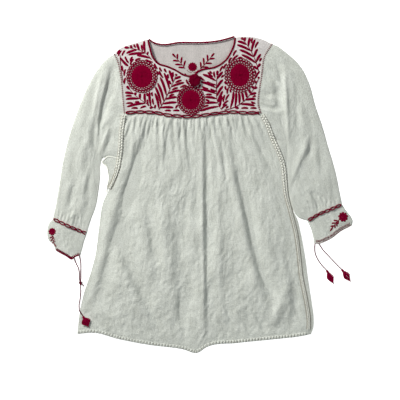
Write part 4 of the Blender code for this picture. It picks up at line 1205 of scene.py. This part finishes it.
def lens_band(name, line, half, lens, radius):
    """Two wavy chain-stitch lines that cross again and again."""
    piece = Piece()
    spots, normal, run = frame_of(line, 1.0 * MM)
    wave = np.sin(math.pi * run / lens)
    swell = np.sign(wave) * np.abs(wave)**0.45
    for sign, height in ((1, 0.6 * MM), (-1, 1.3 * MM)):
        lay(piece, spots, normal, sign * half * swell, height, radius)
    piece.make(name + "_stitches", CRIMSON, name)


def short_stitches(piece, line, pitch, start, end, radius, height, slant=0.0):
    """Separate stitches across a line, from one offset to another, all in millimetres."""
    spots, normal, _ = frame_of(line, pitch * MM)
    t = np.linspace(0.0, 1.0, 5)
    offset = (start + (end - start) * t) * MM
    for spot, aside in zip(spots, normal):
        path = (spot + np.outer(offset, aside)
                + np.outer((t - 0.5) * slant * MM, (aside[1], -aside[0])))
        under = FRONT.heights(path[[0, 2, 4]]).max()
        thread(piece, path, under + (height + 0.35 * np.sin(math.pi * t)) * MM, radius * MM, 5)


def crochet_seam(name, line, fades, share):
    """A joining strip of crochet: two rows of beads, set in turn, over a shaded base.

    The beads shrink to the given share between the two heights of fades.
    """
    spots, normal, run = frame_of(line, 1.0 * MM)
    scale = np.interp(spots[:, 1], np.array(fades) * MM, [share, 1.0])
    inner = (CROCHET_HALF * scale)[:, None]
    across = np.array([-1.25, -0.9, -0.3, 0.3, 0.9, 1.25]) * CROCHET_HALF
    lowest = np.max([FRONT.heights(spots + normal * shift * MM) for shift in (-1.5, 0.0, 1.5)],
                    axis=0) - 1.4 * MM
    sides = [softened(np.maximum(FRONT.heights(spots + normal * offset), lowest), 2)
             for offset in across]
    z = np.stack(sides, axis=1) + MM * np.array([-0.4, 0.3, 0.3, 0.3, 0.3, -0.4])
    # The base strip is painted shade: the dark seen in the holes between the beads.
    base = Piece()
    ribbon(base, spots, normal, across, z, run)
    base.make(name + "_crochet_base", CROCHET_SHADE)
    piece = Piece()
    turn = TURN * run / CROCHET_PITCH
    for sign, low in ((-1, sides[1]), (1, sides[4])):
        phase = turn + 0.5 * math.pi * sign
        path = spots + normal * (sign * 0.5 * inner + 0.6 * MM * np.sin(phase)[:, None])
        bead = (1.8 + 0.9 * np.cos(phase)) * scale * MM
        thread(piece, path, low + 0.7 * MM + 0.3 * bead, bead)
    path = spots + normal * (0.9 * inner * np.sin(turn)[:, None])
    thread(piece, path, np.maximum(sides[2], sides[3]) + 0.8 * MM, 0.75 * MM * scale)
    piece.make(name + "_crochet", CROCHET, name)


def make_hem():
    """The rolled hem: a crimped roll, with short dark threads in its dips as painted shade."""
    spots, normal, run = frame_of(evenly(LINES["hem"], 200)[1:-2], 0.8 * MM)
    drift = 2.0 * noise(run / (40 * MM), run * 0, 12)
    rib = 0.5 + 0.5 * np.cos(TURN * run / HEM_PITCH + drift)
    strong = 0.5 + 0.5 * np.clip((spots[:, 0] / MM + 60) / 120, 0.0, 1.0)
    under = softened(FRONT.heights(spots + normal * 5 * MM), 2)
    verts, places = [], []
    for row in range(HEM_ROWS):
        v = row / (HEM_ROWS - 1)
        arch = math.sin(math.pi * (0.05 + 0.9 * v))**0.6
        crest = np.interp(run + 1.6 * MM * (v - 0.5), run, rib)
        height = under + 0.2 * MM + (0.3 + 2.6 * crest * strong) * arch * MM
        if row in (0, HEM_ROWS - 1):
            height = under - 0.2 * MM
        verts.append(np.column_stack([spots + normal * HEM_WIDTH * (1 - v), height]))
        places.append(np.column_stack([run, np.full(len(run), v * HEM_WIDTH)]))
    piece = Piece()
    piece.add(np.concatenate(verts), grid_faces(len(run), HEM_ROWS), np.concatenate(places))
    piece.make("hem_roll", COTTON, "hem_front")
    # Painted shade: dark threads laid in the crimp's dips, thicker where the crimp is stronger.
    dips = Piece()
    t = np.linspace(0.0, 1.0, 5)
    for index in np.flatnonzero((rib[1:-1] < rib[:-2]) & (rib[1:-1] <= rib[2:])) + 1:
        path = spots[index] + np.outer((7.4 - 6.2 * t) * MM, normal[index])
        high = under[index] + 0.45 * MM + 0.3 * MM * np.sin(math.pi * t)
        thread(dips, path, high, (0.35 + 0.35 * strong[index]) * MM, 5)
    dips.make("hem_dips", CROCHET_SHADE)


def beside(line, offset):
    """A line moved to its left side by a distance."""
    return line + offset * units(np.column_stack([-np.gradient(line[:, 1]), np.gradient(line[:, 0])]))


def make_binding():
    """The rolled crimson binding of the neck, whipped round, with picots on its back edge."""
    front = evenly(beside(evenly(LINES["neck_front"], 90), BINDING_CLEAR)[1:-1], 260)
    back = evenly(beside(evenly(LINES["neck_back"], 60), BINDING_CLEAR)[1:-1], 220)
    for name, flat, high in (("binding_front", front, front_height(front) + 0.5 * WALL),
                             ("binding_back", back, np.full(len(back), BINDING_RADIUS + 0.1 * MM))):
        piece = Piece()
        path = np.column_stack([flat, high])
        tube(piece, path, 0.82 * BINDING_RADIUS, 8)
        run = run_of(path)
        fine = np.linspace(0.0, run[-1], int(run[-1] / (0.4 * MM)))
        line = sample(path, run, fine)
        side = np.cross(UP, units(np.gradient(line, axis=0)))
        turn = (TURN * fine / (3.0 * MM))[:, None]
        wrap = line + 0.8 * BINDING_RADIUS * (np.cos(turn) * side + np.sin(turn) * UP)
        tube(piece, wrap, 0.7 * MM, 5)
        if name == "binding_back":
            for index in range(2, len(path) - 2, 4):
                inward = -side[min(int(index * len(side) / len(path)), len(side) - 1)]
                picot = np.linspace(path[index], path[index] + inward * 3.0 * MM, 4)
                tube(piece, picot, np.array([0.8, 0.75, 0.6, 0.3]) * MM, 5)
        piece.make(name + "_whipped", CRIMSON, name)


def make_pompom():
    """A knot of yarn at the front of the neck: loops of thread over a round heart."""
    x0, y0 = -12 * MM, 279 * MM
    wide, tall, high = 15.0 * MM, 16.5 * MM, 8.5 * MM
    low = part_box("neck_pompom")[0][2]
    piece = Piece()
    turns, rings = 40, 12
    turn = np.linspace(0, TURN, turns, endpoint=False)
    polar = np.linspace(0.04, math.pi - 0.04, rings)[:, None]
    ring = 0.93 * np.sin(polar)
    verts = np.stack(np.broadcast_arrays(x0 + wide * ring * np.cos(turn),
                                         y0 + tall * ring * np.sin(turn),
                                         low + (0.5 + 0.40 * np.cos(polar)) * high), axis=-1)
    places = np.stack(np.broadcast_arrays(polar * wide, turn * wide), axis=-1)
    faces = grid_faces(turns, rings, ring=True)
    faces = [face[::-1] for face in faces] + [tuple(range(turns))]
    faces.append(tuple((rings - 1) * turns + i for i in range(turns))[::-1])
    piece.add(verts.reshape(-1, 3), faces, places.reshape(-1, 2))
    random = np.random.default_rng(12)
    t = np.linspace(0.0, 1.0, 9)
    for index in range(96):
        angle = random.uniform(0, TURN)
        first = random.uniform(0.0, 0.55)
        last = min(first + random.uniform(0.5, 0.95), random.uniform(0.9, 1.0))
        bend = angle + random.uniform(-0.6, 0.6) * t
        reach = first + (last - first) * t
        rise = np.sqrt(np.clip(1 - (0.97 * reach)**2, 0.0, 1.0))
        arch = np.sin(math.pi * t)
        path = np.column_stack([x0 + wide * 1.04 * reach * np.cos(bend),
                                y0 + tall * reach * np.sin(bend)])
        thread(piece, path, low + (0.5 + 0.40 * rise + 0.06 * arch) * high,
               0.85 * MM * (0.75 + 0.35 * arch), 5)
    piece.make("neck_pompom_yarn", DEEP, "neck_pompom")
    knot = Piece()
    middle = np.array([-35, 295]) * MM
    ground = float(FRONT.heights(middle[None])[0])
    t = np.linspace(0, 1, 6)
    for index in range(5):
        angle = TURN * index / 5
        start = middle + 1.6 * MM * heading(angle)
        end = middle - 1.6 * MM * heading(angle + 0.5)
        thread(knot, start + np.outer(t, end - start),
               ground + (0.8 + np.sin(math.pi * t)) * MM, 1.0 * MM)
    knot.make("neck_knot", DEEP)


def make_armhole_stitches():
    """The dotted joining stitches between yoke and sleeve, and the pale ones beside them."""
    for side, inner in (("left", 1), ("right", -1)):
        line = LINES[f"armhole_{side}"]
        red = Piece()
        short_stitches(red, line, 4.4, -1.1, 1.1, 1.25, 0.1, 0.8)
        red.make(f"armhole_dots_{side}", CRIMSON)
        white = Piece()
        short_stitches(white, line, 2.5, inner * 1.9, inner * 3.9, 0.5, 0.1, 0.6)
        white.make(f"armhole_edge_{side}", CROCHET)


def cuff_sprig(name, centre, radius, frond, width, pitch):
    """A small flower, a ring of petals round a filled middle, with a sprig beside it."""
    piece = Piece()
    stitch_fronds(piece, None, [frond], width, pitch)
    centre = np.array(centre) * MM
    for count, inner, outer, share in ((9, 0.3, 1.0, 0.58), (5, 0.0, 0.42, 0.4)):
        for index in range(count):
            reach = heading(TURN * index / count + 0.2) * radius * MM
            leaf(piece, centre + reach * inner, centre + reach * outer, share * radius * MM, 0.0)
    drape(piece, FRONT)
    piece.make(name, CRIMSON)


def make_cuff_embroidery():
    """Crimson work on the cuffs: bands, a flower with a sprig on each, and stitched mouths."""
    for side in ("left", "right"):
        lens_band(f"band_cuff_{side}", evenly(LINES[f"cuff_{side}_top"], 60)[2:-2], *CUFF_BAND)
    cuff_sprig("cuff_left_sprig", (-361, -91), 9.5,
               ((-361, -100), (-361, -108), (-357, -118), 7, 7, 58, 58), 3.4 * MM, 4.6 * MM)
    mouth = Piece()
    line = evenly(LINES["cuff_left_mouth"], 60)[2:-2]
    spots, normal, run = frame_of(line, 0.8 * MM)
    lay(mouth, spots, normal, 1.4 * MM, 0.4 * MM, 1.9 * MM)
    short_stitches(mouth, line, 3.4, 0.8, 6.4, 1.1, 0.2)
    mouth.make("cuff_left_mouth_stitches", DEEP)
    cuff_sprig("cuff_right_flower", (352, -55), 12.5,
               ((341, -62), (335, -68), (327, -79), 11, 11, 48, 48), 4.6 * MM, 5 * MM)
    border = Piece()
    spots, normal, run = frame_of(evenly(LINES["cuff_right_mouth"], 80)[2:-2], 0.8 * MM)
    zig = 2.6 * (2 * np.abs((run / (10.0 * MM)) % 1 - 0.5) * 2 - 1)
    for offset, height, radius in ((-1.5, 0.4, 0.5), (-6.8 - zig, 0.4, 0.45), (zig - 6.8, 0.7, 0.4)):
        lay(border, spots, normal, offset * MM, height * MM, radius * MM)
    border.make("cuff_right_border", CRIMSON)


def make_allowances():
    """Narrow strips under the sewn seams, as the turned-in edges of the cloth are."""
    piece = Piece()
    seams = [LINES[name] for name in ("yoke_seam", "armhole_left", "armhole_right",
                                      "cuff_left_top", "cuff_right_top")]
    seams += [between("body_left", YOKE_Y, GUSSET_LEFT_END_Y),
              between("body_right", YOKE_Y, -340 * MM)]
    half = 2.2 * MM
    for line in seams:
        spots, normal, run = frame_of(evenly(line, 90)[1:-1], 3 * MM)
        low = np.minimum(FRONT.heights(spots + half * normal), FRONT.heights(spots - half * normal))
        z = np.repeat(low[:, None] - 0.3 * MM, 3, axis=1)
        ribbon(piece, spots, normal, np.array([-half, 0.0, half]), z, run)
    piece.make("seam_allowances", COTTON)


make_allowances()
lens_band("band_yoke", evenly(LINES["yoke_seam"], 90)[1:-1], *YOKE_BAND)
crochet_seam("seam_left", between("body_left", CROCHET_TOP, 14 * MM), (35, 70), 0.55)
crochet_seam("seam_right", between("body_right", CROCHET_TOP, -330 * MM), (-30, 25), 0.6)
make_hem()
make_binding()
make_pompom()
make_armhole_stitches()
make_cuff_embroidery()

TIES = {
    "tie_left_a": [(-306.5, -158.4), (-303, -168), (-297, -181), (-294.6, -197), (-294.4, -208),
                   (-291.5, -217), (-287, -221), (-283.4, -225)],
    "tie_left_b": [(-293.6, -153), (-291.6, -166), (-291.2, -181), (-291.2, -197),
                   (-291.2, -209), (-291.3, -222), (-291.6, -239), (-293, -256), (-295.5, -273),
                   (-294, -285), (-289, -293), (-285, -298)],
    "tie_right_a": [(283.2, -120.5), (282.4, -131), (284.2, -146), (290, -159), (299, -172),
                    (312, -186)],
    "tie_right_b": [(293.2, -121.2), (302.5, -135.5), (315, -149), (332, -167), (349, -184)],
}
# Where tie_left_b crosses over tie_left_a.
CROSSING = np.array([-291.3, -217.4]) * MM
CROSSING_REACH = 10 * MM
# Each tassel: its tie, where it ends, and half its width.
TASSELS = {
    "tassel_left": ("tie_left_b", -271, -324, 11),
    "tassel_right_a": ("tie_right_a", 329, -219.5, 8.5),
    "tassel_right_b": ("tie_right_b", 371, -214, 8.5),
}
TASSEL_THREADS = 64


def tie_line(name):
    """The centre line of a tie: on the floor, over the cloth's edge, and over another tie."""
    line = smooth(np.array(TIES[name]) * MM)
    line = evenly(line, int(steps(line).sum() / (0.8 * MM)))
    under = FRONT.heights(line)
    lift = np.where(under > 0, under + 0.1 * MM, 0.0)
    if name == "tie_left_b":
        off = np.linalg.norm(line - CROSSING, axis=1)
        lift = lift + (TIE_DIAMETER + 0.4 * MM) * np.exp(-(off / CROSSING_REACH)**4)
    return np.column_stack([line, softened(lift, 5) + 0.5 * TIE_DIAMETER])


def twisted(piece, line, radius, pitch, strands=3):
    """Strands twisted round a centre line."""
    tangent = units(np.gradient(line, axis=0))
    side = units(np.cross(UP, tangent))
    lift = np.cross(tangent, side)
    for strand in range(strands):
        turn = TURN * (run_of(line) / pitch + strand / strands)
        path = line + 0.39 * radius * (np.cos(turn)[:, None] * side + np.sin(turn)[:, None] * lift)
        tube(piece, path, 0.61 * radius, 7)


def make_tassel(name, values):
    """A tassel: a wrapped head and a skirt of separate threads that narrows to its end."""
    tie, end_x, end_y, half_width = values
    end = np.array([end_x, end_y]) * MM
    start = np.array(TIES[tie][-1]) * MM
    half_width = half_width * MM
    length = np.linalg.norm(end - start)
    forward = (end - start) / length
    sideways = np.array([-forward[1], forward[0]])
    spots = [start + forward * length * t + sideways * s * half_width
             for t in (0.1, 0.4, 0.7, 1.0) for s in (-1, 0, 1)]
    base = FRONT.heights(np.array(spots)).max()
    random = np.random.default_rng(len(name) + int(abs(end_x)))
    piece = Piece()
    t = np.linspace(0.0, 1.0, 9)
    for _ in range(TASSEL_THREADS):
        turn = random.uniform(0, TURN)
        reach = math.sqrt(random.uniform(0, 1))
        across, up = reach * math.cos(turn), reach * math.sin(turn)
        wide = half_width * np.sin(math.pi * t**1.45)**0.8 + 1.4 * MM * (1 - t)
        reach_end = length * (1 - 0.24 * across**2 - 0.07 * random.uniform())
        run = 4 * MM + (reach_end - 4 * MM) * t
        sway = across * wide + 0.7 * MM * np.sin(4 * t + turn) * t
        high = 2.6 * MM * (0.7 + 0.5 * np.sin(math.pi * t)) * (up + 1) * (1 - 0.45 * t)
        line = start + np.outer(run, forward) + np.outer(sway, sideways)
        thread(piece, line, base + 0.6 * MM + high, 0.55 * MM, 5)
    turn = np.linspace(0, TURN, 14, endpoint=False)
    for ring in range(6):
        middle = start + forward * (0.8 + 0.95 * ring) * MM
        wide = (2.5 if ring < 4 else 2.9) * MM
        thread(piece, middle + np.outer(np.cos(turn) * wide, sideways),
               base + 3.1 * MM + 0.95 * wide * np.sin(turn), 0.6 * MM, 5, closed=True)
    return piece.make(name + "_threads", TASSEL, name)


def make_ties():
    """The cuffs' twisted ties with their tassels."""
    tassels = {values[0]: make_tassel(name, values) for name, values in TASSELS.items()}
    for name in TIES:
        line = tie_line(name)
        piece = Piece()
        twisted(piece, line, 0.5 * TIE_DIAMETER, 8 * MM)
        made = piece.make(name + "_twist", TIE, name)


def make_tie_roots():
    """The ends of the ties that are sewn in under the cuffs' mouths."""
    piece = Piece()
    for name in TIES:
        line = tie_line(name)
        path = line[0] + np.outer(np.linspace(-0.5, 5.5, 6) * MM, unit(line[0] - line[6]))
        thread(piece, path[:, :2], line[0][2], 0.45 * TIE_DIAMETER, 8)
    piece.make("tie_roots", TIE)


def make_tie_knot():
    """The overhand knot where the left cuff's two ties meet."""
    turn = np.linspace(0, TURN, 60, endpoint=False)
    middle = np.append(CROSSING, FRONT.heights(CROSSING[None])[0])
    knot = np.column_stack([(np.sin(turn) + 2 * np.sin(2 * turn)) * 1.25,
                            (np.cos(turn) - 2 * np.cos(2 * turn)) * 1.5,
                            3.6 - 1.9 * np.sin(3 * turn)]) * MM
    piece = Piece()
    tube(piece, middle + knot, 1.1 * MM, 8, closed=True)
    piece.make("tie_left_knot", TIE)


make_ties()
make_tie_roots()
make_tie_knot()
